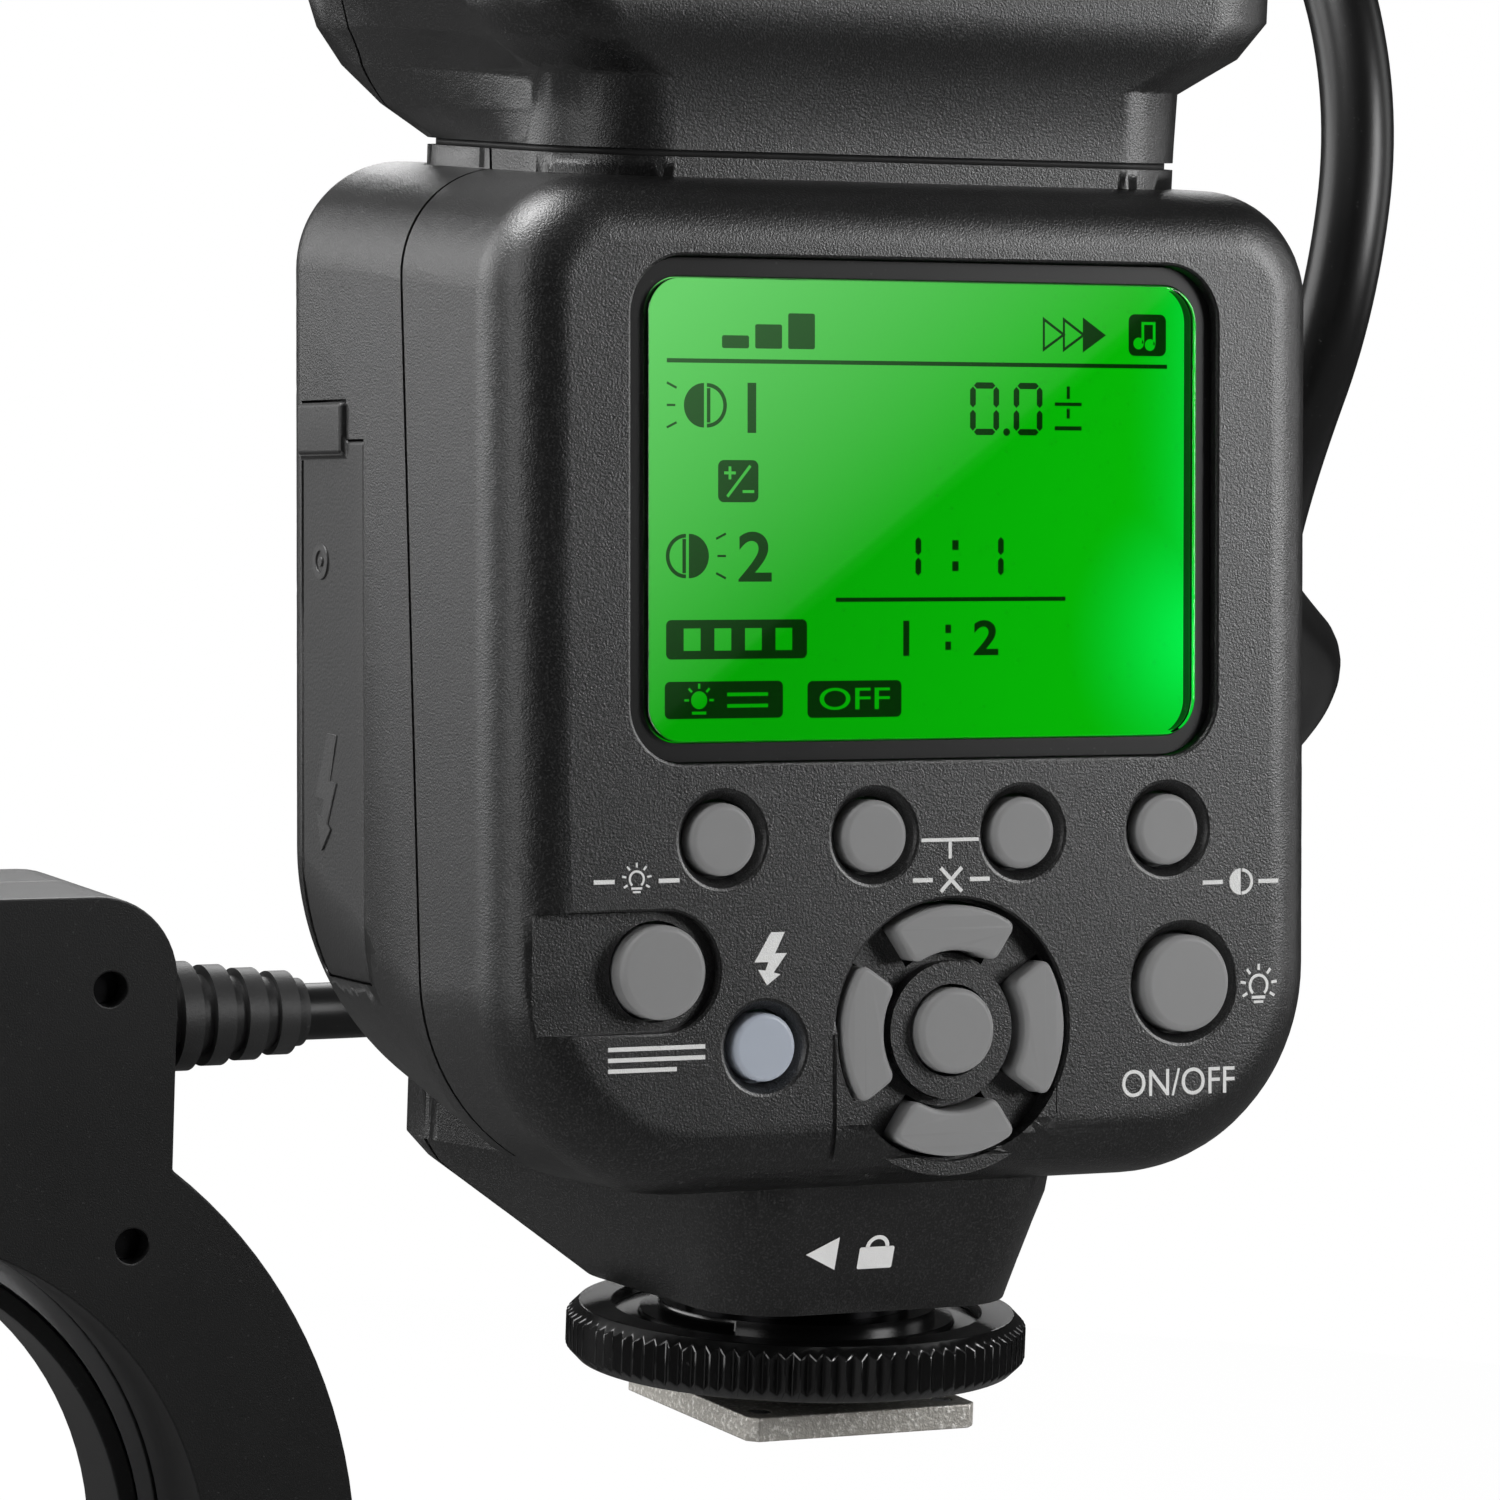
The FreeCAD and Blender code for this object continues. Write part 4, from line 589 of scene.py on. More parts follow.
# How much each visible node's sharp edges are eased, in millimetres
EASE = {
    "ring_rear_shell": 0.25, "ring_front_shell": 0.25, "port_cover": 0.35, "battery_door": 0.2,
    "mode_button": 0.4, "power_button": 0.4, "test_button": 0.3, "key_centre": 0.4, "foot_plate": 0.15,
    "display_bezel": 0.1, "display_window": 0.2, "release_button_right": 0.3, "release_button_left": 0.3,
    "foot_post": 0.1,
}
for number in range(1, 5):
    EASE["small_button_%d" % number] = 0.35
REMADE = ("cord", "lock_wheel", "key_up", "key_down", "key_left", "key_right")
DRESSED = {}
for label in sorted(frame["nodes"]):
    if label not in REMADE:
        DRESSED[label] = dressed(label, EASE.get(label, 0.0))


# Marks, drawn as closed outlines in millimetres on a flat face

def bar(left, low, right, high):
    """A rectangle's corners."""
    return [(left, low), (right, low), (right, high), (left, high)]


def disc(x, z, radius, start=0, sweep=360, count=40):
    """Points round a disc, or round a part of it."""
    steps = count if sweep == 360 else count + 1
    turns = [math.radians(start + sweep * step / count) for step in range(steps)]
    return [(x + radius * math.cos(turn), z + radius * math.sin(turn)) for turn in turns]


def soft_bar(left, low, right, high, corner):
    """A rectangle with rounded corners."""
    points = []
    for x, z, start in ((right - corner, high - corner, 0), (left + corner, high - corner, 90),
                        (left + corner, low + corner, 180), (right - corner, low + corner, 270)):
        points += disc(x, z, corner, start, 90, 8)
    return points


def stroke(first, last, width):
    """A straight line of some width between two points."""
    x, z = last[0] - first[0], last[1] - first[1]
    scale = width / 2 / math.hypot(x, z)
    side = (-z * scale, x * scale)
    return [(first[0] + side[0], first[1] + side[1]), (first[0] - side[0], first[1] - side[1]),
            (last[0] - side[0], last[1] - side[1]), (last[0] + side[0], last[1] + side[1])]


def bolt(x, z, width, height):
    """A lightning bolt that ends in an arrow head, as flash units show when they are charged."""
    shape = [(0.05, 0.5), (0.42, 0.5), (0.16, 0.1), (0.48, 0.1), (0.12, -0.26), (0.3, -0.3), (-0.06, -0.5),
             (-0.3, -0.2), (-0.1, -0.22), (-0.02, -0.06), (-0.4, -0.06)]
    return [(x + px * width, z + pz * height) for px, pz in shape]


def digit(value, left, low, wide, tall, thick):
    """The bars of a seven-segment digit, each cut to points."""
    half = thick / 2
    gap = thick * 0.18
    right, high, middle = left + wide, low + tall, low + tall / 2
    places = {
        "a": ((left, high), (right, high)), "b": ((right, middle), (right, high)),
        "c": ((right, low), (right, middle)), "d": ((left, low), (right, low)),
        "e": ((left, low), (left, middle)), "f": ((left, middle), (left, high)),
    }
    shapes = []
    for key in {"0": "abcdef", "1": "bc"}[value]:
        (x1, z1), (x2, z2) = places[key]
        if z1 == z2:
            shapes.append([(x1 + gap, z1), (x1 + gap + half, z1 - half), (x2 - gap - half, z1 - half),
                           (x2 - gap, z1), (x2 - gap - half, z1 + half), (x1 + gap + half, z1 + half)])
        else:
            shapes.append([(x1, z1 + gap), (x1 + half, z1 + gap + half), (x1 + half, z2 - gap - half),
                           (x1, z2 - gap), (x1 - half, z2 - gap - half), (x1 - half, z1 + gap + half)])
    return shapes


PRINT_THICK = 0.04


def drawn(name, outlines, thick=PRINT_THICK, soft=0.0):
    """A flat solid with the given outlines and soft edges; an outline inside another one is a hole."""
    line = bpy.data.curves.new(name, "CURVE")
    line.dimensions = "2D"
    line.fill_mode = "BOTH"
    line.extrude = (thick / 2 - soft) * MM
    line.bevel_depth = soft * MM
    line.bevel_resolution = 3
    line.offset = -soft * MM
    for outline in outlines:
        spline = line.splines.new("POLY")
        spline.points.add(len(outline) - 1)
        for point, (x, z) in zip(spline.points, outline):
            point.co = (x * MM, z * MM, 0.0, 1.0)
        spline.use_cyclic_u = True
    piece = bpy.data.objects.new(name, line)
    bpy.context.scene.collection.objects.link(piece)
    activate(piece)
    bpy.ops.object.convert(target="MESH")
    return bpy.context.view_layer.objects.active


def lettered(name, words, left, low, high, width=None, thick=PRINT_THICK, bold=0.0):
    """Words between two heights, from a left edge, and stretched to a width where one is given."""
    bpy.ops.object.select_all(action="DESELECT")
    bpy.ops.object.text_add()
    piece = bpy.context.view_layer.objects.active
    piece.name = name
    piece.data.body = words
    piece.data.extrude = thick / 2 * MM
    piece.data.size = 1.0 * MM
    piece.data.offset = bold * MM
    bpy.ops.object.convert(target="MESH")
    piece = bpy.context.view_layer.objects.active
    xs = [vertex.co.x for vertex in piece.data.vertices]
    zs = [vertex.co.y for vertex in piece.data.vertices]
    tall = (high - low) * MM / (max(zs) - min(zs))
    wide = width * MM / (max(xs) - min(xs)) if width else tall
    stretch = Matrix.Diagonal((wide, tall, 1, 1)) @ Matrix.Translation((-min(xs), -min(zs), 0))
    piece.data.transform(shifted(left, low, 0) @ stretch)
    return piece


def joined(pieces, name):
    """Several pieces as one."""
    bpy.ops.object.select_all(action="DESELECT")
    for piece in pieces:
        piece.select_set(True)
    bpy.context.view_layer.objects.active = pieces[0]
    bpy.ops.object.join()
    piece = bpy.context.view_layer.objects.active
    piece.name = name
    return piece


# Turns what is drawn flat, x to the right and y up the page, so that it stands and faces the back
STANDING = Matrix(((1, 0, 0, 0), (0, 0, -1, 0), (0, 1, 0, 0), (0, 0, 0, 1)))


def set_mark(piece, place, material, body):
    """Mend a mark's mesh, move it to its face and let it ride there."""
    face_outward(piece, MARK_MERGE)
    piece.data.transform(place)
    set_finish(piece, material)
    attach(piece, body)


def on_panel(depth):
    """The place of a mark drawn in x and z, this deep behind the panel's face."""
    return LEANING @ shifted(0, depth - PANEL_BACK, 0) @ STANDING


# Pieces that are made anew or added: the knurled wheel, the arrow keys, the dark lip under the head and the
# marks on the side cover

WHEEL_TEETH = 96
WHEEL_RADIUS = 16.9
RIDGE_DEPTH = 0.45
WHEEL_LOW, WHEEL_HIGH = 1.6, 5.7
WHEEL_BORE = 11.6
WHEEL_CHAMFER = 0.9
WELL_RADIUS, WELL_LOW, WELL_TOP = 13.6, 4.9, 7.0
FINE_EASE = 0.06


def make_wheel():
    """The lock wheel: V ridges round a chamfered ring, with a bore and a shallow well."""
    outline = []
    for step in range(2 * WHEEL_TEETH):
        radius = WHEEL_RADIUS - (RIDGE_DEPTH if step % 2 else 0.0)
        turn = math.pi * step / WHEEL_TEETH
        outline.append((radius * math.cos(turn), radius * math.sin(turn)))
    wheel = drawn("lock_wheel_rim", [outline, disc(0, 0, WHEEL_BORE, count=128)], WHEEL_HIGH - WHEEL_LOW)
    clean_mesh(wheel, FINE_BEND)
    wheel.data.transform(UPRIGHT @ shifted(0, 0, (WHEEL_LOW + WHEEL_HIGH) / 2))
    round_tool = solid_round("wheel_round", WHEEL_RADIUS, WHEEL_LOW, WHEEL_HIGH, UPRIGHT, 256)
    apply_modifier(round_tool, "BEVEL", width=WHEEL_CHAMFER * MM, segments=1, limit_method="ANGLE",
                   angle_limit=math.radians(RIM_EDGE_BEND))
    carved(wheel, round_tool, "INTERSECT")
    carved(wheel, solid_round("wheel_well", WELL_RADIUS, WELL_LOW, WELL_TOP, UPRIGHT))
    apply_modifier(wheel, "BEVEL", width=FINE_EASE * MM, segments=1, limit_method="ANGLE",
                   angle_limit=math.radians(RIDGE_EDGE_BEND), use_clamp_overlap=False)
    shade(wheel, RIDGE_BEND)
    take_over(wheel, "lock_wheel")


def curved_corner(before, corner, after, count=6):
    """Points along a soft corner."""
    points = []
    for step in range(count + 1):
        share = step / count
        points.append(tuple((1 - share) ** 2 * a + 2 * share * (1 - share) * b + share ** 2 * c
                            for a, b, c in zip(before, corner, after)))
    return points


def key_outline(outer, inner, half, soft):
    """A ring sector about the origin that opens upwards, with soft corners."""
    def at(radius, angle):
        return radius * math.sin(math.radians(angle)), radius * math.cos(math.radians(angle))
    outer_turn, inner_turn = half - math.degrees(soft / outer), half - math.degrees(soft / inner)
    share = soft / math.dist(at(outer, half), at(inner, half))
    points = [at(outer, outer_turn * (step / 12 - 1)) for step in range(25)]
    for side in (1, -1):
        high, low = at(outer, side * half), at(inner, side * half)
        high_end = tuple(a + (b - a) * share for a, b in zip(high, low))
        low_end = tuple(b + (a - b) * share for a, b in zip(high, low))
        if side == 1:
            points += curved_corner(at(outer, outer_turn), high, high_end)[1:]
            points += curved_corner(low_end, low, at(inner, inner_turn))
            points += [at(inner, inner_turn * (1 - step / 8)) for step in range(1, 16)]
        else:
            points += curved_corner(at(inner, -inner_turn), low, low_end)
            points += curved_corner(high_end, high, at(outer, -outer_turn))[:-1]
    return points


PAD_MIDDLE, PAD_HEIGHT = 1.85, 27.2
KEY_DEPTH = 19.475
KEY_OUTER, KEY_INNER, KEY_HALF_TURN = 8.9, 5.7, 34
KEY_CORNER, KEY_THICK, KEY_SOFT = 0.8, 3.65, 0.35
FLANGE_OUTER, FLANGE_INNER, FLANGE_HALF_TURN = 8.95, 5.35, 33
FLANGE_CORNER, FLANGE_THICK, FLANGE_DROP = 0.1, 0.8, 2.225


def make_arrow_keys():
    """The four arrow keys with soft corners and tops, on the flanges that hold them in the well."""
    cap_line = key_outline(KEY_OUTER, KEY_INNER, KEY_HALF_TURN, KEY_CORNER)
    flange_line = key_outline(FLANGE_OUTER, FLANGE_INNER, FLANGE_HALF_TURN, FLANGE_CORNER)
    place = LEANING @ shifted(PAD_MIDDLE, -KEY_DEPTH, PAD_HEIGHT) @ STANDING
    for label, angle in (("key_up", 0), ("key_right", -90), ("key_down", 180), ("key_left", 90)):
        cap = drawn(label + "_cap", [cap_line], KEY_THICK, KEY_SOFT)
        flange = drawn(label + "_flange", [flange_line], FLANGE_THICK)
        flange.data.transform(shifted(0, 0, -FLANGE_DROP))
        key = joined([cap, flange], "made_" + label)
        face_outward(key, KEY_MERGE)
        key.data.transform(place @ Matrix.Rotation(math.radians(angle), 4, "Z"))
        shade(key)
        take_over(key, label)


LIP_HALF, LIP_FRONT, LIP_BACK, LIP_CORNER = 25.2, 20.7, 8.9, 7.4
LIP_THICK, LIP_HEIGHT = 0.48, 89.89
HUB_MIDDLE, HUB_HOLE = 5.9, 12.3


def make_neck_lip():
    """The dark plate that closes the gap under the head."""
    plate = soft_bar(-LIP_HALF, -LIP_BACK, LIP_HALF, LIP_FRONT, LIP_CORNER)
    lip = drawn("neck_lip", [plate, disc(0, HUB_MIDDLE, HUB_HOLE)], LIP_THICK)
    clean_mesh(lip, FINE_BEND)
    lip.data.transform(UPRIGHT @ shifted(0, 0, LIP_HEIGHT))
    set_finish(lip, INNER_BLACK)
    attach(lip, "unit")


COVER_MARK_THICK = 0.3
COVER_MARK_SINK = 0.01
COVER_MARKS = (
    (10.9, 60.3, [disc(0, 0, 1.3), disc(0, 0, 0.8), disc(0, 0, 0.35)]),
    (10.1, 43.6, [bolt(0, 0, 4.0, 8.6)]),
)
LEFT_OF_ALL = -100


def make_cover_marks():
    """The raised ring and bolt on the side cover."""
    cover = DRESSED["port_cover"]
    bpy.context.view_layer.update()
    for y, z, outlines in COVER_MARKS:
        seat = LEANING @ Vector((0, y * MM, z * MM))
        hit, spot = cover.ray_cast(Vector((LEFT_OF_ALL * MM, seat.y, seat.z)), Vector((1, 0, 0)))[:2]
        if not hit:
            continue
        mark = drawn("cover_mark", outlines, COVER_MARK_THICK)
        across = spot.x + COVER_MARK_SINK * MM
        place = Matrix(((0, 0, -1, across), (-1, 0, 0, seat.y), (0, 1, 0, seat.z), (0, 0, 0, 1)))
        set_mark(mark, place, SOFT_RUBBER, BODY_OF["port_cover"])


make_wheel()
make_arrow_keys()
make_neck_lip()
make_cover_marks()


# Display: its marks are a generic set of numbers, lamps, arrows and framed signs

GLASS_DEPTH = 2.82
INK_THICK = 0.03
INK_LIFT, LIGHT_LIFT = 0.02, 0.06
MARK_SHIFT = 1.3
FINE_LINE = 0.16
LAMP_OUTER, LAMP_INNER = 1.55, 1.28
LAMP_GAP, LAMP_STEM, LAMP_LIFT = 0.12, 0.38, 1.2


def half_lamp(x, z, dark_side):
    """A lamp sign: a disc with one dark half, a light half and three rays on its dark side."""
    start = 90 if dark_side < 0 else -90
    dark = [(px + dark_side * LAMP_GAP, pz) for px, pz in disc(x, z, LAMP_OUTER, start, 180)]
    ring = disc(x, z, LAMP_OUTER, start + 180, 180) + disc(x, z, LAMP_INNER, start, -180)
    light = [(px - dark_side * LAMP_GAP, pz) for px, pz in ring]
    stem_sides = sorted((x - dark_side * LAMP_GAP, x - dark_side * LAMP_STEM))
    shapes = [dark, light, bar(stem_sides[0], z - LAMP_LIFT, stem_sides[1], z + LAMP_LIFT)]
    for lift in (-LAMP_LIFT, 0.0, LAMP_LIFT):
        near = (x + dark_side * (2.25 if lift else 2.35), z + lift)
        far = (x + dark_side * 3.0, z + lift * 1.3)
        shapes.append(stroke(near, far, FINE_LINE))
    return shapes


def arrow_outline(x, z, size, rim):
    """An open arrow head that points right."""
    tip, lift = x + 1.5 * size, 2.1 * rim
    outer = [(x, z - size), (tip, z), (x, z + size)]
    inner = [(x + rim, z - size + lift), (tip - 2.0 * rim, z), (x + rim, z + size - lift)]
    return [outer, inner]


def rays(x, z, near, far, width, turns):
    """Short strokes that point away from a spot."""
    strokes = []
    for turn in turns:
        out = (math.cos(math.radians(turn)), math.sin(math.radians(turn)))
        first, last = [(x + reach * out[0], z + reach * out[1]) for reach in (near, far)]
        strokes.append(stroke(first, last, width))
    return strokes


DIGIT_WIDE, DIGIT_THICK = 1.9, 0.45
NUMBERS = (("1", -14.6, 69.4, 72.9, None), ("2", -15.3, 59.0, 62.5, 2.6),
           ("1", -2.2, 53.7, 56.2, None), ("2", 3.5, 53.7, 56.2, 2.0))


def make_display_marks():
    """The display's dark marks, and the green ones inside the dark frames."""
    dark = [bar(-20.9, 74.25, 19.4, 74.55), bar(-7.6, 57.55, 11.0, 57.85)]
    for step in range(3):
        dark.append(soft_bar(-16.6 + 2.6 * step, 75.3, -14.5 + 2.6 * step, 76.2 + 0.8 * step, 0.15))
    dark += arrow_outline(9.1, 76.6, 1.25, FINE_LINE)
    dark += arrow_outline(10.75, 76.6, 1.25, FINE_LINE)
    dark.append([(12.4, 75.35), (14.3, 76.6), (12.4, 77.85)])
    dark.append(soft_bar(16.2, 75.15, 19.3, 78.15, 0.5))
    dark += half_lamp(-17.9, 71.3, -1)
    dark += half_lamp(-19.3, 60.8, 1)
    dark.append(soft_bar(-16.9, 64.55, -13.75, 67.5, 0.45))
    dark += digit("0", 3.4, 69.6, DIGIT_WIDE, 3.3, DIGIT_THICK)
    dark.append(disc(6.15, 69.6, 0.27))
    dark += digit("0", 6.95, 69.6, DIGIT_WIDE, 3.3, DIGIT_THICK)
    dark += [bar(10.1, 71.5, 12.3, 71.75), bar(11.08, 72.0, 11.33, 72.9), bar(11.08, 70.6, 11.33, 71.3)]
    dark.append(bar(10.1, 69.75, 12.3, 70.05))
    dark += digit("1", -2.9, 59.3, DIGIT_WIDE, 2.9, DIGIT_THICK)
    dark += [bar(1.75, 59.7, 2.25, 60.4), bar(1.75, 61.2, 2.25, 61.9)]
    dark += digit("1", 3.8, 59.3, DIGIT_WIDE, 2.9, DIGIT_THICK)
    dark += [bar(1.2, 54.1, 1.65, 54.7), bar(1.2, 55.3, 1.65, 55.9)]
    dark.append(soft_bar(-20.95, 53.6, -9.9, 56.35, 0.4))
    dark.append(soft_bar(-21.05, 49.45, -11.8, 52.05, 0.4))
    dark.append(soft_bar(-9.85, 49.4, -2.35, 52.0, 0.4))
    ink = [drawn("display_ink_marks", dark, INK_THICK)]
    for words, left, low, high, width in NUMBERS:
        ink.append(lettered("display_number", words, left, low, high, width, INK_THICK, bold=0.02))
    across = shifted(MARK_SHIFT, 0, 0)
    set_mark(joined(ink, "display_ink_marks"), on_panel(GLASS_DEPTH - INK_LIFT) @ across, DISPLAY_INK,
             "unit")
    light = [disc(17.0, 76.05, 0.42), bar(17.25, 76.05, 17.45, 77.6), bar(17.45, 77.4, 18.4, 77.6),
             disc(17.95, 75.95, 0.42, 90, -360), bar(18.2, 75.95, 18.4, 77.4)]
    light += [stroke((-16.2, 64.95), (-14.4, 67.1), 0.2), bar(-16.45, 66.5, -15.55, 66.7),
              bar(-16.1, 66.15, -15.9, 66.5), bar(-16.1, 66.7, -15.9, 67.05), bar(-15.0, 65.2, -14.1, 65.4)]
    for step in range(4):
        light.append(bar(-19.6 + 2.4 * step, 54.2, -18.3 + 2.4 * step, 55.75))
    light += [disc(-18.4, 50.75, 0.62), bar(-18.95, 49.75, -17.85, 49.95)]
    light += rays(-18.4, 50.75, 0.8, 1.15, FINE_LINE, range(0, 181, 45))
    light += [bar(-16.2, 50.2, -13.0, 50.45), bar(-16.2, 51.0, -13.0, 51.25)]
    glow = drawn("display_light_marks", light, INK_THICK)
    off = lettered("display_off", "OFF", -8.9, 49.95, 51.5, 5.6, INK_THICK)
    set_mark(joined([glow, off], "display_light_marks"), on_panel(GLASS_DEPTH - LIGHT_LIFT) @ across,
             LIT_DISPLAY, "unit")


make_display_marks()


# White prints on the panel: generic signs, and ON/OFF by the power key

PRINT_LIFT = 0.005


def bulb(x, z, size):
    """A small bulb with rays."""
    heart = z + 0.1 * size
    marks = [disc(x, heart, 0.62 * size, -50, 280) + disc(x, heart, 0.46 * size, 230, -280)]
    marks += [bar(x - 0.42 * size, z - 0.62 * size, x + 0.42 * size, z - 0.46 * size),
              bar(x - 0.3 * size, z - 0.86 * size, x + 0.3 * size, z - 0.72 * size)]
    return marks + rays(x, heart, 0.82 * size, 1.15 * size, 0.15 * size, range(-30, 211, 40))


def crossed(x, z, reach, half):
    """A diagonal cross as one outline."""
    points = []
    for turn in (45, 135, 225, 315):
        out = (math.cos(math.radians(turn)), math.sin(math.radians(turn)))
        side = (-out[1], out[0])
        for along, across in ((half, -half), (reach, -half), (reach, half)):
            points.append((x + along * out[0] + across * side[0], z + along * out[1] + across * side[1]))
    return points


def make_panel_prints():
    """The signs printed beside the keys."""
    marks = bulb(-23.1, 38.4, 1.0)
    marks += [bar(-26.4, 38.2, -24.8, 38.5), bar(-21.4, 38.2, -19.8, 38.5)]
    marks += [bar(-0.7, 40.6, 3.9, 40.85), bar(1.48, 39.4, 1.73, 40.6)]
    marks += [crossed(1.7, 37.9, 1.2, 0.14), bar(-1.4, 37.75, 0.2, 38.05), bar(3.2, 37.75, 4.8, 38.05)]
    marks += [disc(25.6, 37.2, 0.95, 90, 180), bar(22.4, 37.05, 24.1, 37.35), bar(27.1, 37.05, 28.8, 37.35),
              disc(25.7, 37.2, 0.95, -90, 180) + disc(25.7, 37.2, 0.72, 90, -180)]
    marks += [bar(-25.3, 26.6, -17.8, 26.9), bar(-25.3, 25.85, -17.8, 26.15), bar(-25.3, 25.1, -20.0, 25.4)]
    marks.append(bolt(-12.8, 32.7, 2.9, 3.7))
    marks += bulb(27.15, 29.5, 1.35)
    prints = drawn("panel_marks", marks)
    words = lettered("panel_on_off", "ON/OFF", 15.73, 21.9, 23.85, 9.4)
    set_mark(joined([prints, words], "panel_prints"), on_panel(-PRINT_LIFT), WHITE_INK, "unit")


make_panel_prints()


# The foot block's slanted back, as depths behind the middle at two heights, and the height of its signs
BLOCK_LOW, BLOCK_HIGH = 7.6, 15.6
BLOCK_DEPTH_LOW, BLOCK_DEPTH_HIGH = 13.0, 15.1
LOCK_HEIGHT = 12.2


def make_lock_print():
    """An arrow and a padlock on the foot block's slanted back."""
    marks = [[(-6.9, 12.25), (-4.4, 10.95), (-4.4, 13.5)]]
    marks += [soft_bar(-2.6, 10.9, 0.2, 12.6, 0.15),
              disc(-1.2, 12.55, 0.95, 0, 180) + disc(-1.2, 12.55, 0.65, 180, -180)]
    rise, run = BLOCK_HIGH - BLOCK_LOW, BLOCK_DEPTH_HIGH - BLOCK_DEPTH_LOW
    depth = BLOCK_DEPTH_LOW + run * (LOCK_HEIGHT - BLOCK_LOW) / rise + 0.01
    tilted = Matrix.Rotation(math.atan2(run, rise), 4, "X")
    place = (UPRIGHT @ shifted(0, -depth, LOCK_HEIGHT) @ tilted @ STANDING
             @ shifted(0, -LOCK_HEIGHT, 0))
    set_mark(drawn("lock_print", marks), place, WHITE_INK, "unit")


make_lock_print()


# Cord

def make_cord():
    """The free cord: one smooth line through the route's control points."""
    line = bpy.data.curves.new("cord_line", "CURVE")
    line.dimensions = "3D"
    spline = line.splines.new("NURBS")
    spline.points.add(len(CORD_ROUTE) - 1)
    for point, place in zip(spline.points, CORD_ROUTE):
        point.co = (*[value * MM for value in place], 1.0)
    spline.order_u = 3
    spline.use_endpoint_u = True
    line.resolution_u = 12
    line.bevel_depth = CORD_RADIUS * MM
    line.bevel_resolution = 10
    line.use_fill_caps = True
    piece = bpy.data.objects.new("cord_run", line)
    bpy.context.scene.collection.objects.link(piece)
    line.materials.append(CORD_JACKET)
    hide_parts("cord")
    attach(piece, "unit")


make_cord()


# Studio: floor, backdrop, lights and the camera

def make_camera():
    """The camera at the photograph's place and angle."""
    turn, dip, roll = CAMERA_TURN, CAMERA_DIP, CAMERA_ROLL
    ahead = Vector((math.sin(turn) * math.cos(dip), math.cos(turn) * math.cos(dip), -math.sin(dip)))
    level = Vector((math.cos(turn), -math.sin(turn), 0.0))
    raised = level.cross(ahead)
    across = math.cos(roll) * level + math.sin(roll) * raised
    upward = -math.sin(roll) * level + math.cos(roll) * raised
    lens = bpy.data.cameras.new("camera")
    lens.lens = CAMERA_LENS
    lens.sensor_width = 36.0
    lens.clip_start = 0.01
    lens.clip_end = 20.0
    camera = bpy.data.objects.new("camera", lens)
    bpy.context.scene.collection.objects.link(camera)
    aimed = Matrix((across, upward, -ahead)).transposed().to_4x4()
    camera.matrix_world = Matrix.Translation(Vector(CAMERA_PLACE) * MM) @ aimed
    bpy.context.scene.camera = camera


# How pale the floor's paper is, how pale its mirror image is, and how much of it glows where it is seen
PAPER_WHITE, PAPER_MIRRORED = 0.93, 0.1
FLOOR_GLOW = 0.93

# The floor's radius and its distance under the object, in metres
FLOOR_REACH, FLOOR_DROP = 0.6, 0.004

# The white world's strength: its share for glossy rays, and its least for all others
WORLD_GLOSS, WORLD_FILL = 0.03, 0.03

# Soft boxes: name, place, target, width and height in metres, and power in watts
LAMPS = (
    ("back_left_box", (-0.80, 0.76, 0.34), (0, 0, 0.06), 0.9, 0.7, 6.3),
    ("left_box", (-0.95, -0.35, 0.30), (0, 0, 0.06), 0.4, 0.7, 2.3),
    ("top_box", (-0.42, 0.14, 0.90), (0, 0, 0.08), 0.45, 0.55, 11.5),
    ("front_right_box", (0.27, -0.24, 0.17), (0, 0, 0.08), 0.12, 0.22, 0.82),
    ("right_strip", (1.0, -0.05, 0.25), (0, 0, 0.07), 0.3, 0.7, 1.0),
    ("rear_view_box", (0.45, 1.0, 0.65), (0, 0, 0.06), 0.6, 0.6, 4.5),
)


def seen_rays(tree, glossy_share):
    """One for what is seen directly or straight through glass, and a share of it for glossy rays."""
    path = tree.nodes.new("ShaderNodeLightPath")
    straight = maths(tree, "LESS_THAN", path.outputs["Glossy Depth"], 0.5)
    through = maths(tree, "MULTIPLY", path.outputs["Is Transmission Ray"], straight)
    seen = maths(tree, "MAXIMUM", path.outputs["Is Camera Ray"], through)
    glossy = maths(tree, "MULTIPLY", path.outputs["Is Glossy Ray"], glossy_share)
    return maths(tree, "MAXIMUM", seen, glossy)


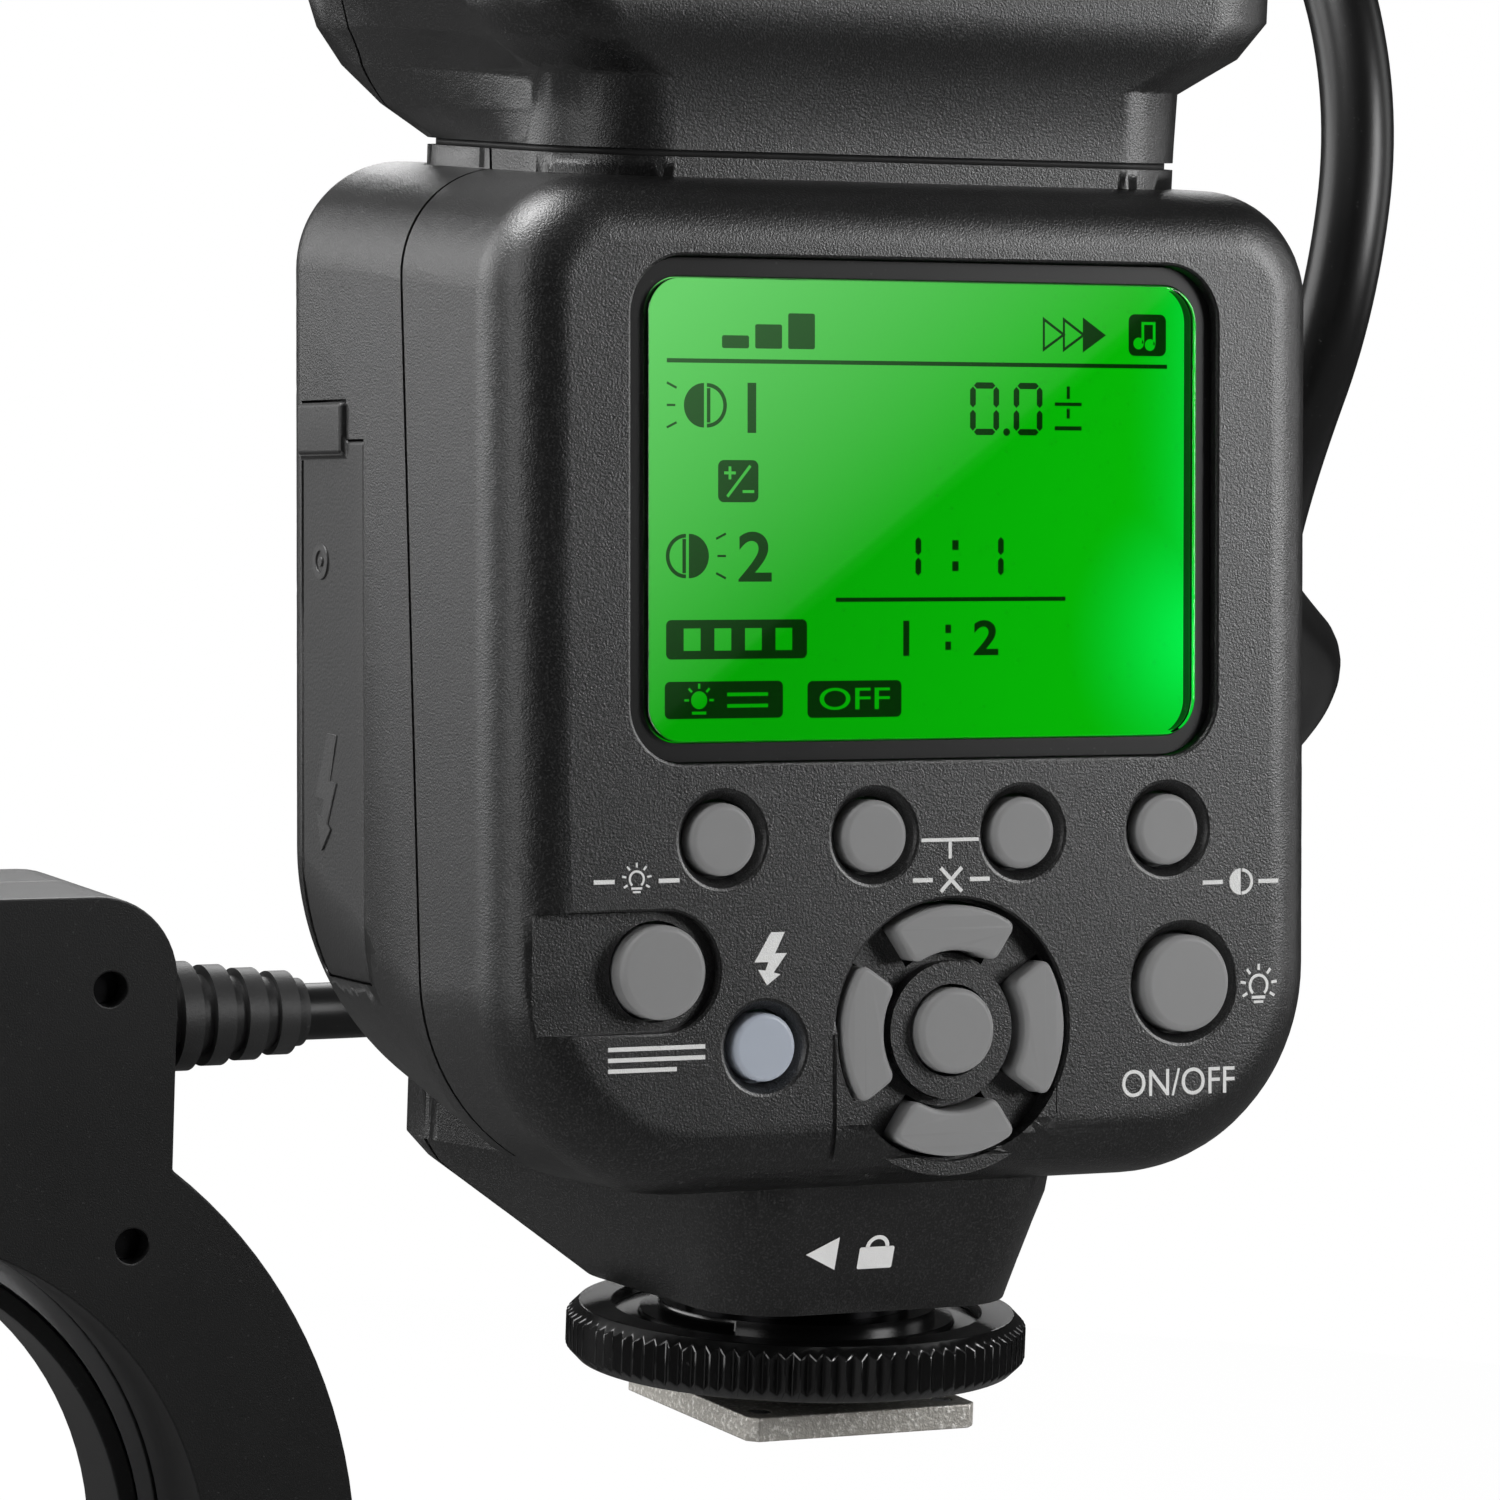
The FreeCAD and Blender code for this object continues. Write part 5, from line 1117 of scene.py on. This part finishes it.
def floor_paper():
    """Pale paper that looks white to the camera, apart from the object's shadow."""
    material, tree, shader = new_material("floor_paper")
    shader.inputs["Roughness"].default_value = 0.9
    path = tree.nodes.new("ShaderNodeLightPath")
    wire(tree, mixed(tree, path.outputs["Is Glossy Ray"], (PAPER_WHITE,) * 3, (PAPER_MIRRORED,) * 3),
         shader.inputs["Base Color"])
    glow = tree.nodes.new("ShaderNodeEmission")
    glow.inputs["Strength"].default_value = 1.0
    mix = tree.nodes.new("ShaderNodeMixShader")
    wire(tree, maths(tree, "MULTIPLY", seen_rays(tree, 0.0), FLOOR_GLOW), mix.inputs["Fac"])
    wire(tree, shader.outputs[0], mix.inputs[1])
    wire(tree, glow.outputs[0], mix.inputs[2])
    wire(tree, mix.outputs[0], tree.nodes["Material Output"].inputs["Surface"])
    return material


def lamp(name, place, target, wide, tall, power):
    """A soft box that points at a spot."""
    light = bpy.data.lights.new(name, "AREA")
    light.shape = "RECTANGLE"
    light.size = wide
    light.size_y = tall
    light.energy = power
    piece = bpy.data.objects.new(name, light)
    bpy.context.scene.collection.objects.link(piece)
    piece.location = place
    piece.rotation_mode = "QUATERNION"
    piece.rotation_quaternion = (Vector(target) - Vector(place)).to_track_quat("-Z", "Y")


def make_studio():
    """A round pale floor under the ring head, a white world and soft lights."""
    bpy.ops.object.select_all(action="DESELECT")
    bpy.ops.mesh.primitive_circle_add(vertices=96, radius=FLOOR_REACH, fill_type="NGON",
                                      location=(0.0, 0.1, cad_low.z - FLOOR_DROP))
    floor = bpy.context.view_layer.objects.active
    floor.name = "floor"
    floor.data.materials.append(floor_paper())
    world = bpy.data.worlds.new("studio")
    bpy.context.scene.world = world
    world.use_nodes = True
    tree = world.node_tree
    back = tree.nodes["Background"]
    back.inputs["Color"].default_value = (1, 1, 1, 1)
    strength = maths(tree, "MAXIMUM", seen_rays(tree, WORLD_GLOSS), WORLD_FILL)
    wire(tree, strength, back.inputs["Strength"])
    for row in LAMPS:
        lamp(*row)


make_camera()
make_studio()
bpy.context.scene.view_settings.view_transform = "Standard"

bpy.context.view_layer.update()
